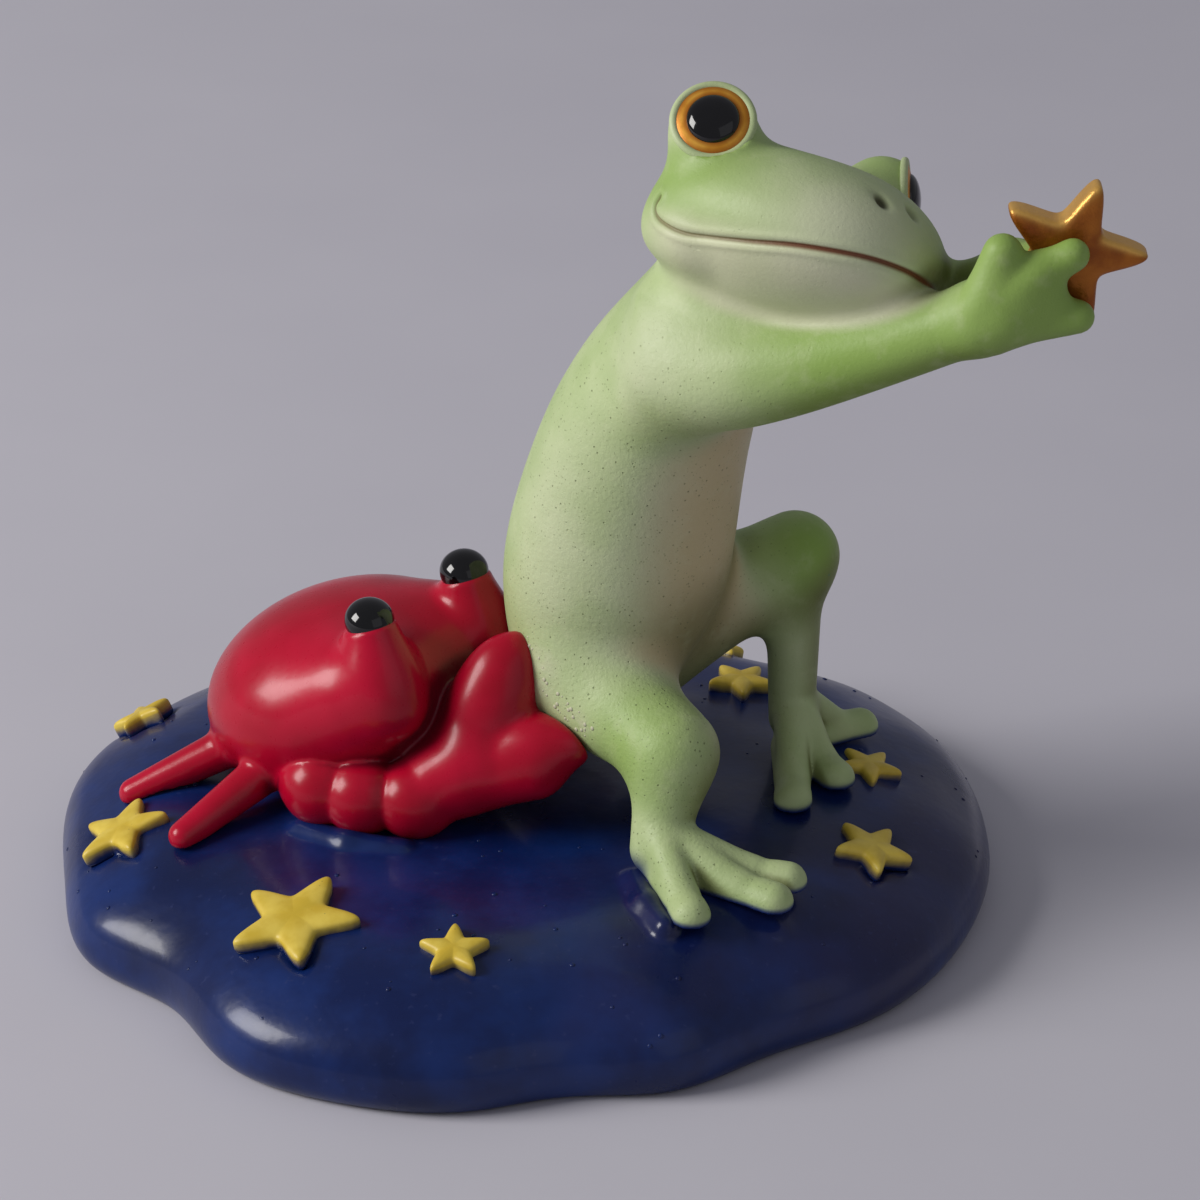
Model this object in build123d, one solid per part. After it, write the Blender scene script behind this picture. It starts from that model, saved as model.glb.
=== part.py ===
"""Cast resin frog figurine.

A frog half squats on a cloud-shaped base, stretches both arms forward and holds up a star, while a crab
behind it pinches its rear. Flat stars sit in shallow seats of the base. The castings are glued together
over steel dowel pins.

Millimetres, +Z up. The origin is the middle of the base's flat underside. +X runs from the crab to the
held star, and -Y is the side that is normally seen. A place written as (x, y, height) has its height
over the flat crown of the base.
"""
import math
import os

from build123d import *

# Cloud base: a pillow with a wavy rim
BASE_WIDTH = 76.0
BASE_DEPTH = 74.0
BASE_HEIGHT = 10.0
BASE_BELLY_HEIGHT = 2.6
BASE_FLOOR_INSET = 1.7
BASE_CROWN_INSET = 17.0
# Where its sections lie on the round of the rim, in degrees below and above the widest line
BASE_BELLY_ANGLES = (75, 45, 15)
BASE_CROWN_ANGLES = (10, 30, 50, 70, 90)
# Rim waves: direction in degrees, and reach as a share of the half width or half depth
BASE_RIM = (
    (0, 1.03), (20, 1.07), (42, 1.09), (62, 1.03), (84, 1.01), (106, 0.98), (128, 1.06), (148, 1.10),
    (166, 1.08), (184, 1.02), (200, 1.01), (214, 0.925), (230, 0.98), (248, 0.98), (264, 0.94),
    (276, 0.885), (290, 0.915), (306, 0.89), (322, 0.94), (342, 0.99),
)

# Stars on the base: direction from the middle, distance inside the rim, span and turn
STAR_LAYOUT = (
    (152, 3.4, 6.2, 20), (186, 5.2, 8.6, 28), (228, 9.6, 11.0, 49), (258, 9.8, 6.4, 46),
    (46, 14.0, 6.6, 10), (9, 10.6, 6.4, 50), (344, 8.0, 7.4, 5), (61, 4.6, 6.2, 25),
)
STAR_THICKNESS = 1.9
STAR_SEAT_DEPTH = 1.0
STAR_SEAT_CLEARANCE = 0.05
STAR_NOTCH_SHARE = 0.5
STAR_CORNER_ROUND = 0.4
STAR_EDGE_ROUND = 0.3

# Frog's torso: places of its sections from seat to neck, with half width and half depth
TORSO_TURN = 35.0
TORSO_SECTIONS = (
    ((5.3, 3.2, 6.9), 3.4, 2.8),
    ((5.4, 3.2, 8.6), 6.0, 5.2),
    ((6.0, 3.1, 12.4), 7.8, 7.2),
    ((7.2, 2.8, 18.5), 9.2, 9.0),
    ((8.4, 2.0, 25.0), 9.3, 9.0),
    ((9.9, 0.8, 32.0), 8.9, 8.2),
    ((12.2, -0.8, 39.0), 7.8, 6.9),
    ((15.6, -3.0, 46.0), 6.0, 5.5),
    ((18.2, -4.6, 50.5), 4.4, 4.2),
)

# Frog's head: an egg that turns towards -Y, looks up and leans to its left
HEAD_PLACE = (20.2, -4.6, 52.2)
HEAD_TURN = 54.0
HEAD_TIP_UP = 12.0
HEAD_LEAN = 30.0
HEAD_HALF_WIDTH = 11.5
HEAD_HALF_HEIGHT = 6.9
HEAD_SNOUT_LENGTH = 15.2
HEAD_NAPE_LENGTH = 7.4

# Frog's eyes: balls on the head that hold a gold bead with a black bead in it
EYE_FORWARD = -0.3
EYE_SIDE = 8.8
EYE_UP = 5.3
EYE_AIM = 44.0
EYE_TIP_UP = 18.0
EYE_BALL_RADIUS = 3.5
EYELID_RADIUS = 3.04
EYELID_ROUND = 0.34
EYELID_SINK = 0.2
IRIS_RADIUS = 2.75
IRIS_DEPTH = 1.4
IRIS_DOME = 0.5
PUPIL_RADIUS = 2.0
PUPIL_DEPTH = 0.7
PUPIL_DOME = 1.0
EYE_CLEARANCE = 0.04

# Frog's arms: right and left, from the shoulder over the elbow to the wrist
SHOULDER_RADIUS = 4.6
UPPER_ARM_RADIUS = 4.2
ELBOW_RADIUS = 3.1
FOREARM_RADIUS = 2.7
WRIST_RADIUS = 2.6
RIGHT_ARM = (
    (11.0, -5.5, 42.2), (18.0, -11.0, 43.2), (26.0, -14.5, 46.3), (32.5, -17.0, 49.6), (36.0, -18.2, 51.6),
)
LEFT_ARM = (
    (17.0, 3.0, 42.2), (25.0, -0.4, 43.4), (32.0, -6.6, 46.6), (36.0, -10.6, 50.0), (37.6, -12.8, 52.2),
)
PALM_RADIUS = 2.8
FINGER_ROOT_RADIUS = 1.55
FINGER_TIP_RADIUS = 1.3
# Fingers and thumb of each hand in a plane beside the held star: root and tip as (x, height)
RIGHT_FINGERS = (((36.3, 53.4), (41.4, 56.4)), ((36.0, 50.4), (42.0, 51.4)), ((34.8, 52.4), (36.2, 56.6)))
LEFT_FINGERS = (((36.6, 52.6), (41.4, 55.0)), ((36.4, 50.4), (42.0, 51.4)), ((35.4, 50.6), (36.6, 53.2)))

# Held star
HELD_STAR_PLACE = (41.4, -16.4, 55.6)
HELD_STAR_SPAN = 12.9
HELD_STAR_THICKNESS = 2.8
HELD_STAR_NOTCH_SHARE = 0.48
HELD_STAR_CORNER_ROUND = 0.6
HELD_STAR_EDGE_ROUND = 0.9
HELD_STAR_TURN = 70.0

# Frog's legs: hip, knee and ankle, then each toe's tip
HIP_RADIUS = 5.6
KNEE_RADIUS = 3.6
CALF_RADIUS = 3.2
ANKLE_RADIUS = 2.2
RIGHT_LEG = ((5.8, -1.6, 11.4), (12.0, -10.3, 9.4), (11.0, -13.4, 2.2))
LEFT_LEG = ((10.0, 7.0, 11.5), (22.4, 7.0, 18.6), (22.6, 7.0, 3.2))
RIGHT_TOES = ((13.4, -21.4), (20.0, -19.2), (21.2, -16.0))
LEFT_TOES = ((22.2, -2.8), (25.9, 1.0), (28.3, 10.0))
TOE_ROOT_RADIUS = 1.9
TOE_TIP_RADIUS = 1.45
TOE_SINK_SHARE = 0.45
TOE_ROOT_STEP = 1.4

# Raised pads of the base, under the toes and under the crab's claw
PAD_RISE = 0.3
PAD_MARGIN = 0.25
PAD_ROOT_DEPTH = 5.0
CLAW_PAD_RISE = 0.3
CLAW_PAD_WIDTH = 4.6

# Crab's shell: an egg tipped up at its front and cut flat where it stands
CRAB_PLACE = (-14.6, 6.0, 7.0)
CRAB_TURN = 40.0
CRAB_TIP_UP = 20.0
CRAB_HALF_LENGTH = 12.4
CRAB_HALF_WIDTH = 12.4
CRAB_HALF_HEIGHT = 8.6

# Crab's eyes: stalks at the front of the shell, with a black bead on each
CRAB_EYE_FORWARD = 10.8
CRAB_EYE_SIDE = 5.8
CRAB_STALK_RADIUS = 2.1
CRAB_STALK_TOP_RADIUS = 1.9
CRAB_STALK_REACH = 6.6
CRAB_EYE_RADIUS = 2.05
CRAB_EYE_SEAT = 0.9

# Crab's claws: round arm segments from the shell, then the palm and two pincer fingers
CLAW_SEGMENT_RADIUS = 3.1
CLAW_PALM_RADIUS = 4.0
CLAW_FINGER_RADIUS = 3.1
CLAW_TIP_RADIUS = 0.8
CLAW_FINGER_STEP = 1.5
CLAW_FINGER_BULGE = 1.0
RIGHT_CLAW_SEGMENTS = ((-17.4, -3.4, 2.8), (-13.4, -5.6, 2.7), (-9.0, -6.4, 2.7))
RIGHT_CLAW_PALM = (-3.8, -4.6, 6.0)
RIGHT_CLAW_TIPS = ((-0.4, -2.4, 15.4), (5.8, -7.2, 8.8))
LEFT_CLAW_SEGMENTS = ((-5.6, 11.4, 3.6), (-2.8, 13.6, 4.2), (-0.6, 13.8, 6.2))
LEFT_CLAW_PALM = (1.2, 13.4, 7.6)
LEFT_CLAW_TIPS = ((3.0, 11.4, 13.5), (6.2, 11.2, 7.5))

# Crab's walking legs: root in the shell, and tip with its height over the base's upper side there
CRAB_LEG_ROOT_RADIUS = 1.9
CRAB_LEG_TIP_RADIUS = 1.25
CRAB_LEGS = {
    "crab_rear_right_leg": ((-23.0, 3.4, 3.4), (-33.0, 2.2, 0.1)),
    "crab_front_right_leg": ((-20.6, -0.8, 3.2), (-28.0, -7.6, 0.8)),
    "crab_rear_left_leg": ((-15.6, 15.0, 3.4), (-18.4, 25.0, 0.6)),
    "crab_front_left_leg": ((-10.2, 14.6, 3.2), (-8.4, 23.4, 0.7)),
}

# Steel dowel pins and the room they have in their holes
PIN_RADIUS = 0.8
PIN_CLEARANCE = 0.05
PIN_END_ROOM = 0.3
HIP_PIN_LENGTH = 8.0
FOOT_PIN_DEPTH = 4.0
FOOT_PIN_RISE = 3.0
CRAB_PIN_DEPTH = 5.0
CRAB_PIN_RISE = 5.0
CRAB_PIN_SPACING = 5.0
CLAW_PIN_LENGTH = 5.0

ROUND_CAP_ANGLES = (-78, -60, -36, -12, 12, 36, 60, 78)


def over_base(place):
    """The point at a place whose height is given over the base's crown."""
    x, y, height = place
    return Vector(x, y, BASE_HEIGHT + height)


def flat_direction(degrees):
    """A level direction, turned from +X towards +Y."""
    return Vector(math.cos(math.radians(degrees)), math.sin(math.radians(degrees)), 0)


def facing_frame(origin, turn, tip_up, lean):
    """A frame whose X axis looks forward: turned towards -Y, tipped up, and leaned to its left."""
    pitch = math.radians(tip_up)
    roll = math.radians(lean)
    forward = flat_direction(-turn) * math.cos(pitch) + Vector(0, 0, math.sin(pitch))
    level_left = flat_direction(90 - turn)
    up = forward.cross(level_left) * math.cos(roll) + level_left * math.sin(roll)
    return Plane(origin=origin, x_dir=forward, z_dir=up)


def section_plane(centre, along, across):
    """A plane square to one direction, with its X axis turned towards another."""
    side = across - along * (across.dot(along) / along.dot(along))
    return Plane(origin=centre, x_dir=side, z_dir=along)


def path_planes(centres, across):
    """Section planes along a line of points, each square to the way past its neighbours."""
    last = len(centres) - 1
    planes = []
    for index, centre in enumerate(centres):
        along = centres[min(index + 1, last)] - centres[max(index - 1, 0)]
        planes.append(section_plane(centre, along, across))
    return planes


def ball(centre, radius):
    """A solid ball."""
    return Pos(centre) * Sphere(radius)


def round_taper(start, start_radius, end, end_radius, bulge=0):
    """A cone with a ball at each end, its side straight or bulging halfway."""
    along = end - start
    lean = math.asin((start_radius - end_radius) / along.length)
    slope = math.degrees(lean)

    def on_circle(height, radius, degrees):
        angle = math.radians(degrees)
        return radius * math.cos(angle), height + radius * math.sin(angle)

    low = on_circle(0, start_radius, slope)
    high = on_circle(along.length, end_radius, slope)
    foot = (0, -start_radius)
    top = (0, along.length + end_radius)
    if bulge:
        halfway = on_circle((low[1] + high[1]) / 2, bulge, slope)
        side = ThreePointArc(low, (halfway[0] + (low[0] + high[0]) / 2, halfway[1]), high)
    else:
        side = Line(low, high)
    outline = [
        ThreePointArc(foot, on_circle(0, start_radius, (slope - 90) / 2), low),
        side,
        ThreePointArc(high, on_circle(along.length, end_radius, (slope + 90) / 2), top),
        Line(top, foot),
    ]
    solid = revolve(Plane.XZ * make_face(outline), Axis.Z)
    return Plane(origin=start, z_dir=along) * solid


def dome(radius, depth, rise):
    """A round bead: a short cylinder below its rim and a shallow cap of a ball above it."""
    ball_radius = (radius**2 + rise**2) / (2 * rise)
    half_angle = math.asin(radius / ball_radius) / 2
    halfway = (ball_radius * math.sin(half_angle), rise - ball_radius * (1 - math.cos(half_angle)))
    outline = [
        Line((0, -depth), (radius, -depth)),
        Line((radius, -depth), (radius, 0)),
        ThreePointArc((radius, 0), halfway, (0, rise)),
        Line((0, rise), (0, -depth)),
    ]
    return revolve(Plane.XZ * make_face(outline), Axis.Z)


def trimmed(piece, *larger):
    """The main body that is left of a piece where larger pieces take up its room."""
    for other in larger:
        piece = piece - other
    return max(piece.solids(), key=lambda solid: solid.volume)


def dowel(start, end):
    """A dowel pin between two points."""
    length = (end - start).length
    pin = Cylinder(PIN_RADIUS, length, align=(Align.CENTER, Align.CENTER, Align.MIN))
    return Plane(origin=start, z_dir=end - start) * pin


def dowel_hole(start, end):
    """The hole for that pin, with room around it and at its ends."""
    room = (end - start).normalized() * PIN_END_ROOM
    length = (end - start).length + 2 * PIN_END_ROOM
    hole = Cylinder(PIN_RADIUS + PIN_CLEARANCE, length, align=(Align.CENTER, Align.CENTER, Align.MIN))
    return Plane(origin=start - room, z_dir=end - start) * hole


def rim_reach(degrees):
    """Distance from the base's middle to its widest line, in one direction."""
    waves = BASE_RIM + ((BASE_RIM[0][0] + 360, BASE_RIM[0][1]),)
    turn = degrees % 360
    for (before, reach_before), (after, reach_after) in zip(waves, waves[1:]):
        if before <= turn <= after:
            part = (1 - math.cos(math.pi * (turn - before) / (after - before))) / 2
            share = reach_before + (reach_after - reach_before) * part
    half = flat_direction(degrees)
    return share * math.hypot(half.X * BASE_WIDTH / 2, half.Y * BASE_DEPTH / 2)


def rim_wire(inset):
    """The wavy outline of the base, drawn in towards its middle."""
    shrink = 1 - inset / (BASE_WIDTH / 4 + BASE_DEPTH / 4)
    points = []
    for degrees, share in BASE_RIM:
        way = flat_direction(degrees) * share * shrink
        points.append((way.X * BASE_WIDTH / 2, way.Y * BASE_DEPTH / 2))
    return make_face(Spline(*points, periodic=True))


def crown_slope(inset):
    """Height of the base's upper side at a distance inside its rim, and its slope in degrees there."""
    lean = math.acos(min(max(1 - inset / BASE_CROWN_INSET, 0), 1))
    rise = BASE_HEIGHT - BASE_BELLY_HEIGHT
    slope = math.atan2(rise * math.cos(lean), BASE_CROWN_INSET * math.sin(lean))
    return BASE_BELLY_HEIGHT + rise * math.sin(lean), math.degrees(slope)


def base_pillow():
    """The base before its pads and seats: flat below, round at the rim, flat on its crown."""
    sections = []
    steepest = math.radians(BASE_BELLY_ANGLES[0])
    for lean in BASE_BELLY_ANGLES:
        inset = BASE_FLOOR_INSET * (1 - math.cos(math.radians(lean)))
        height = BASE_BELLY_HEIGHT * (1 - math.sin(math.radians(lean)) / math.sin(steepest))
        sections.append(Pos(0, 0, height) * rim_wire(inset))
    for lean in BASE_CROWN_ANGLES:
        inset = BASE_CROWN_INSET * (1 - math.cos(math.radians(lean)))
        sections.append(Pos(0, 0, crown_slope(inset)[0]) * rim_wire(inset))
    return loft(sections)


def pad_strip(start, end, width):
    """The outline of a strip with round ends, from one place to another."""
    way = Vector(end.X - start.X, end.Y - start.Y, 0)
    middle = (start + end) * 0.5
    strip = SlotCenterToCenter(way.length, width, rotation=math.degrees(math.atan2(way.Y, way.X)))
    return Pos(middle.X, middle.Y) * strip


def pad(strips, rise):
    """A raised part of the base over several strips."""
    outline = strips[0] + strips[1:]
    floor = BASE_HEIGHT - PAD_ROOT_DEPTH
    return extrude(Pos(0, 0, floor) * outline, PAD_ROOT_DEPTH + rise)


def toe_height(radius):
    """Height of a toe's middle line: it stands on its pad with a flat underside."""
    return PAD_RISE + radius * TOE_SINK_SHARE


def foot_pad(leg, toes):
    """The pad under one foot, with an arm for each toe."""
    heel = over_base(leg[-1])
    width = 2 * (TOE_TIP_RADIUS + PAD_MARGIN)
    return pad([pad_strip(heel, over_base((*tip, 0)), width) for tip in toes], PAD_RISE)


def claw_pad(segments):
    """The pad that carries a claw's arm."""
    places = [over_base(place) for place in segments]
    strips = [pad_strip(start, end, CLAW_PAD_WIDTH) for start, end in zip(places, places[1:])]
    return pad(strips, CLAW_PAD_RISE)


def star_outline(span, notch_share, corner_round):
    """A five-pointed star with rounded corners, one point along +X."""
    reach = span / (2 * math.cos(math.radians(18)))
    points = []
    for corner in range(10):
        radius = reach * notch_share if corner % 2 else reach
        way = flat_direction(36 * corner) * radius
        points.append((way.X, way.Y))
    outline = Polygon(*points, align=None)
    return fillet(outline.vertices(), corner_round)


def star_frame(direction, inset, turn):
    """A frame on the base's upper side, square to its slope."""
    outward = flat_direction(direction)
    height, slope = crown_slope(inset)
    lean = math.radians(slope)
    normal = Vector(0, 0, math.cos(lean)) + outward * math.sin(lean)
    way = outward * (rim_reach(direction) - inset)
    frame = section_plane(Vector(way.X, way.Y, height), normal, outward)
    return frame * Rot(0, 0, turn)


def base_star(direction, inset, span, turn):
    """One star of the base, sunk into its seat."""
    body = extrude(star_outline(span, STAR_NOTCH_SHARE, STAR_CORNER_ROUND), STAR_THICKNESS)
    body = fillet(body.faces().sort_by(Axis.Z)[-1].edges(), STAR_EDGE_ROUND)
    return star_frame(direction, inset, turn) * Pos(0, 0, -STAR_SEAT_DEPTH) * body


def base_star_seat(direction, inset, span, turn):
    """The recess for that star."""
    outline = offset(star_outline(span, STAR_NOTCH_SHARE, STAR_CORNER_ROUND), STAR_SEAT_CLEARANCE)
    recess = extrude(outline, 2 * STAR_THICKNESS)
    return star_frame(direction, inset, turn) * Pos(0, 0, -STAR_SEAT_DEPTH) * recess


def torso_casting():
    """The torso, a loft through ovals from the seat to the neck."""
    centres = [over_base(place) for place, width, depth in TORSO_SECTIONS]
    planes = path_planes(centres, flat_direction(90 - TORSO_TURN))
    ovals = [plane * Ellipse(width, depth) for plane, (place, width, depth) in zip(planes, TORSO_SECTIONS)]
    return loft(ovals)


HEAD = facing_frame(over_base(HEAD_PLACE), HEAD_TURN, HEAD_TIP_UP, HEAD_LEAN)


def eye_frame(side):
    """The frame of one eye, with Z along its aim: -1 is the right eye, 1 the left."""
    centre = HEAD.from_local_coords(Vector(EYE_FORWARD, side * EYE_SIDE, EYE_UP))
    aim = math.radians(EYE_AIM)
    tip = math.radians(EYE_TIP_UP)
    level = HEAD.x_dir * math.sin(aim) + HEAD.y_dir * side * math.cos(aim)
    way = level * math.cos(tip) + HEAD.z_dir * math.sin(tip)
    return section_plane(centre, way, HEAD.z_dir)


def rim_depth(radius):
    """How far along an eye's aim its ball narrows to a radius."""
    return math.sqrt(EYE_BALL_RADIUS**2 - radius**2)


def head_casting():
    """The head: an egg with two eye balls, a lid ring round each, and their sockets."""
    ovals = []
    for degrees in ROUND_CAP_ANGLES:
        length = HEAD_SNOUT_LENGTH if degrees > 0 else HEAD_NAPE_LENGTH
        way = math.sin(math.radians(degrees)) * length
        share = math.cos(math.radians(degrees))
        plane = Plane(HEAD.origin + HEAD.x_dir * way, x_dir=HEAD.y_dir, z_dir=HEAD.x_dir)
        ovals.append(plane * Ellipse(HEAD_HALF_WIDTH * share, HEAD_HALF_HEIGHT * share))
    head = loft(ovals)
    lid = Pos(0, 0, rim_depth(IRIS_RADIUS) - EYELID_SINK) * Torus(EYELID_RADIUS, EYELID_ROUND)
    for side in (-1, 1):
        head += ball(eye_frame(side).origin, EYE_BALL_RADIUS)
        head += eye_frame(side) * lid
    for side in (-1, 1):
        socket = Cylinder(
            IRIS_RADIUS + EYE_CLEARANCE, 2 * IRIS_DEPTH, align=(Align.CENTER, Align.CENTER, Align.MIN)
        )
        head -= eye_frame(side) * Pos(0, 0, rim_depth(IRIS_RADIUS) - IRIS_DEPTH) * socket
    return head


def iris(side):
    """The gold bead of one eye, with a seat for the black one."""
    bead = Pos(0, 0, rim_depth(IRIS_RADIUS)) * dome(IRIS_RADIUS, IRIS_DEPTH - EYE_CLEARANCE, IRIS_DOME)
    seat = Cylinder(
        PUPIL_RADIUS + EYE_CLEARANCE, 2 * PUPIL_DEPTH, align=(Align.CENTER, Align.CENTER, Align.MIN)
    )
    floor = rim_depth(IRIS_RADIUS) - PUPIL_DEPTH
    return eye_frame(side) * (bead - Pos(0, 0, floor) * seat)


def pupil(side):
    """The black bead of one eye."""
    bead = dome(PUPIL_RADIUS, PUPIL_DEPTH - EYE_CLEARANCE, PUPIL_DOME)
    return eye_frame(side) * Pos(0, 0, rim_depth(IRIS_RADIUS)) * bead


def arm_casting(places, fingers, grip):
    """An arm with its hand: grip is how far the fingers lie from the held star's middle, along Y."""
    radii = (SHOULDER_RADIUS, UPPER_ARM_RADIUS, ELBOW_RADIUS, FOREARM_RADIUS, WRIST_RADIUS)
    centres = [over_base(place) for place in places]
    planes = path_planes(centres, Vector(0, 0, 1))
    arm = loft([plane * Circle(radius) for plane, radius in zip(planes, radii)])
    arm += ball(centres[-1], PALM_RADIUS)
    finger_line = HELD_STAR_PLACE[1] + grip
    for (root_x, root_height), (tip_x, tip_height) in fingers:
        root = over_base((root_x, finger_line, root_height))
        tip = over_base((tip_x, finger_line, tip_height))
        arm += round_taper(root, FINGER_ROOT_RADIUS, tip, FINGER_TIP_RADIUS)
    return arm


def held_star():
    """The puffy star in the frog's hands, its face square to Y."""
    outline = star_outline(HELD_STAR_SPAN, HELD_STAR_NOTCH_SHARE, HELD_STAR_CORNER_ROUND)
    body = extrude(outline, HELD_STAR_THICKNESS / 2, both=True)
    flats = body.faces().sort_by(Axis.Z)
    body = fillet(flats[0].edges() + flats[-1].edges(), HELD_STAR_EDGE_ROUND)
    frame = Plane(over_base(HELD_STAR_PLACE), x_dir=(1, 0, 0), z_dir=(0, -1, 0))
    return frame * Rot(0, 0, HELD_STAR_TURN) * body


def leg_casting(places, toes):
    """A leg with its foot, flat under the toes."""
    hip, knee, ankle = [over_base(place) for place in places]
    leg = round_taper(hip, HIP_RADIUS, knee, KNEE_RADIUS)
    leg += round_taper(knee, CALF_RADIUS, ankle, ANKLE_RADIUS)
    heel = over_base((ankle.X, ankle.Y, toe_height(TOE_ROOT_RADIUS)))
    for x, y in toes:
        tip = over_base((x, y, toe_height(TOE_TIP_RADIUS)))
        root = heel + (tip - heel).normalized() * TOE_ROOT_STEP
        leg += round_taper(root, TOE_ROOT_RADIUS, tip, TOE_TIP_RADIUS)
    sole = BASE_HEIGHT + PAD_RISE
    below = Box(BASE_WIDTH, BASE_DEPTH, sole, align=(Align.CENTER, Align.CENTER, Align.MIN))
    return leg - below


CRAB = facing_frame(over_base(CRAB_PLACE), CRAB_TURN, CRAB_TIP_UP, 0)


def crab_shell():
    """The crab's body: an egg cut flat where it stands on the base."""
    shell = CRAB * scale(Sphere(1), (CRAB_HALF_LENGTH, CRAB_HALF_WIDTH, CRAB_HALF_HEIGHT))
    below = Box(BASE_WIDTH, BASE_DEPTH, BASE_HEIGHT, align=(Align.CENTER, Align.CENTER, Align.MIN))
    return shell - below


def crab_eye_points(side):
    """Root of one eye stalk inside the shell, and the middle of its bead."""
    root = CRAB.from_local_coords(Vector(CRAB_EYE_FORWARD, side * CRAB_EYE_SIDE, 0))
    top = CRAB.from_local_coords(Vector(CRAB_EYE_FORWARD, side * CRAB_EYE_SIDE, CRAB_STALK_REACH))
    return root, top


def crab_stalk(side):
    """One eye stalk."""
    root, top = crab_eye_points(side)
    return round_taper(root, CRAB_STALK_RADIUS, top, CRAB_STALK_TOP_RADIUS)


def crab_eye(side):
    """One black eye bead."""
    top = crab_eye_points(side)[1]
    return ball(top + CRAB.z_dir * CRAB_EYE_SEAT, CRAB_EYE_RADIUS)


def crab_claw(segments, palm, tips):
    """A claw: ball segments, a palm and two tapered fingers."""
    middle = over_base(palm)
    claw = round_taper(over_base(segments[-1]), CLAW_SEGMENT_RADIUS, middle, CLAW_PALM_RADIUS)
    for place in segments[:-1]:
        claw += ball(over_base(place), CLAW_SEGMENT_RADIUS)
    for place in tips:
        tip = over_base(place)
        root = middle + (tip - middle).normalized() * CLAW_FINGER_STEP
        claw += round_taper(root, CLAW_FINGER_RADIUS, tip, CLAW_TIP_RADIUS, CLAW_FINGER_BULGE)
    return claw


def crab_leg(root, tip):
    """One walking leg, its tip on the base."""
    x, y, stand = tip
    inset = rim_reach(math.degrees(math.atan2(y, x))) - math.hypot(x, y)
    toe = Vector(x, y, crown_slope(inset)[0] + stand)
    return round_taper(over_base(root), CRAB_LEG_ROOT_RADIUS, toe, CRAB_LEG_TIP_RADIUS)


def pin_lines():
    """Both ends of every dowel pin, by the name of its group."""
    lines = {"neck_pin": [(over_base(TORSO_SECTIONS[-3][0]), HEAD.origin)]}
    lines["shoulder_pins"] = [(over_base(arm[0]), over_base(arm[1])) for arm in (RIGHT_ARM, LEFT_ARM)]
    lines["hip_pins"] = []
    lines["foot_pins"] = []
    for leg in (RIGHT_LEG, LEFT_LEG):
        hip, knee, ankle = [over_base(place) for place in leg]
        lines["hip_pins"].append((hip, hip + (knee - hip).normalized() * HIP_PIN_LENGTH))
        low = Vector(ankle.X, ankle.Y, BASE_HEIGHT - FOOT_PIN_DEPTH)
        high = Vector(ankle.X, ankle.Y, BASE_HEIGHT + FOOT_PIN_RISE)
        lines["foot_pins"].append((low, high))
    lines["crab_mount_pins"] = []
    for side in (-1, 1):
        spot = CRAB.origin + CRAB.y_dir * (side * CRAB_PIN_SPACING / 2)
        low = Vector(spot.X, spot.Y, BASE_HEIGHT - CRAB_PIN_DEPTH)
        high = Vector(spot.X, spot.Y, BASE_HEIGHT + CRAB_PIN_RISE)
        lines["crab_mount_pins"].append((low, high))
    lines["claw_pins"] = []
    for segments in (RIGHT_CLAW_SEGMENTS, LEFT_CLAW_SEGMENTS):
        joint = over_base(segments[1])
        lines["claw_pins"].append((joint, joint + (CRAB.origin - joint).normalized() * CLAW_PIN_LENGTH))
    return lines


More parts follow.
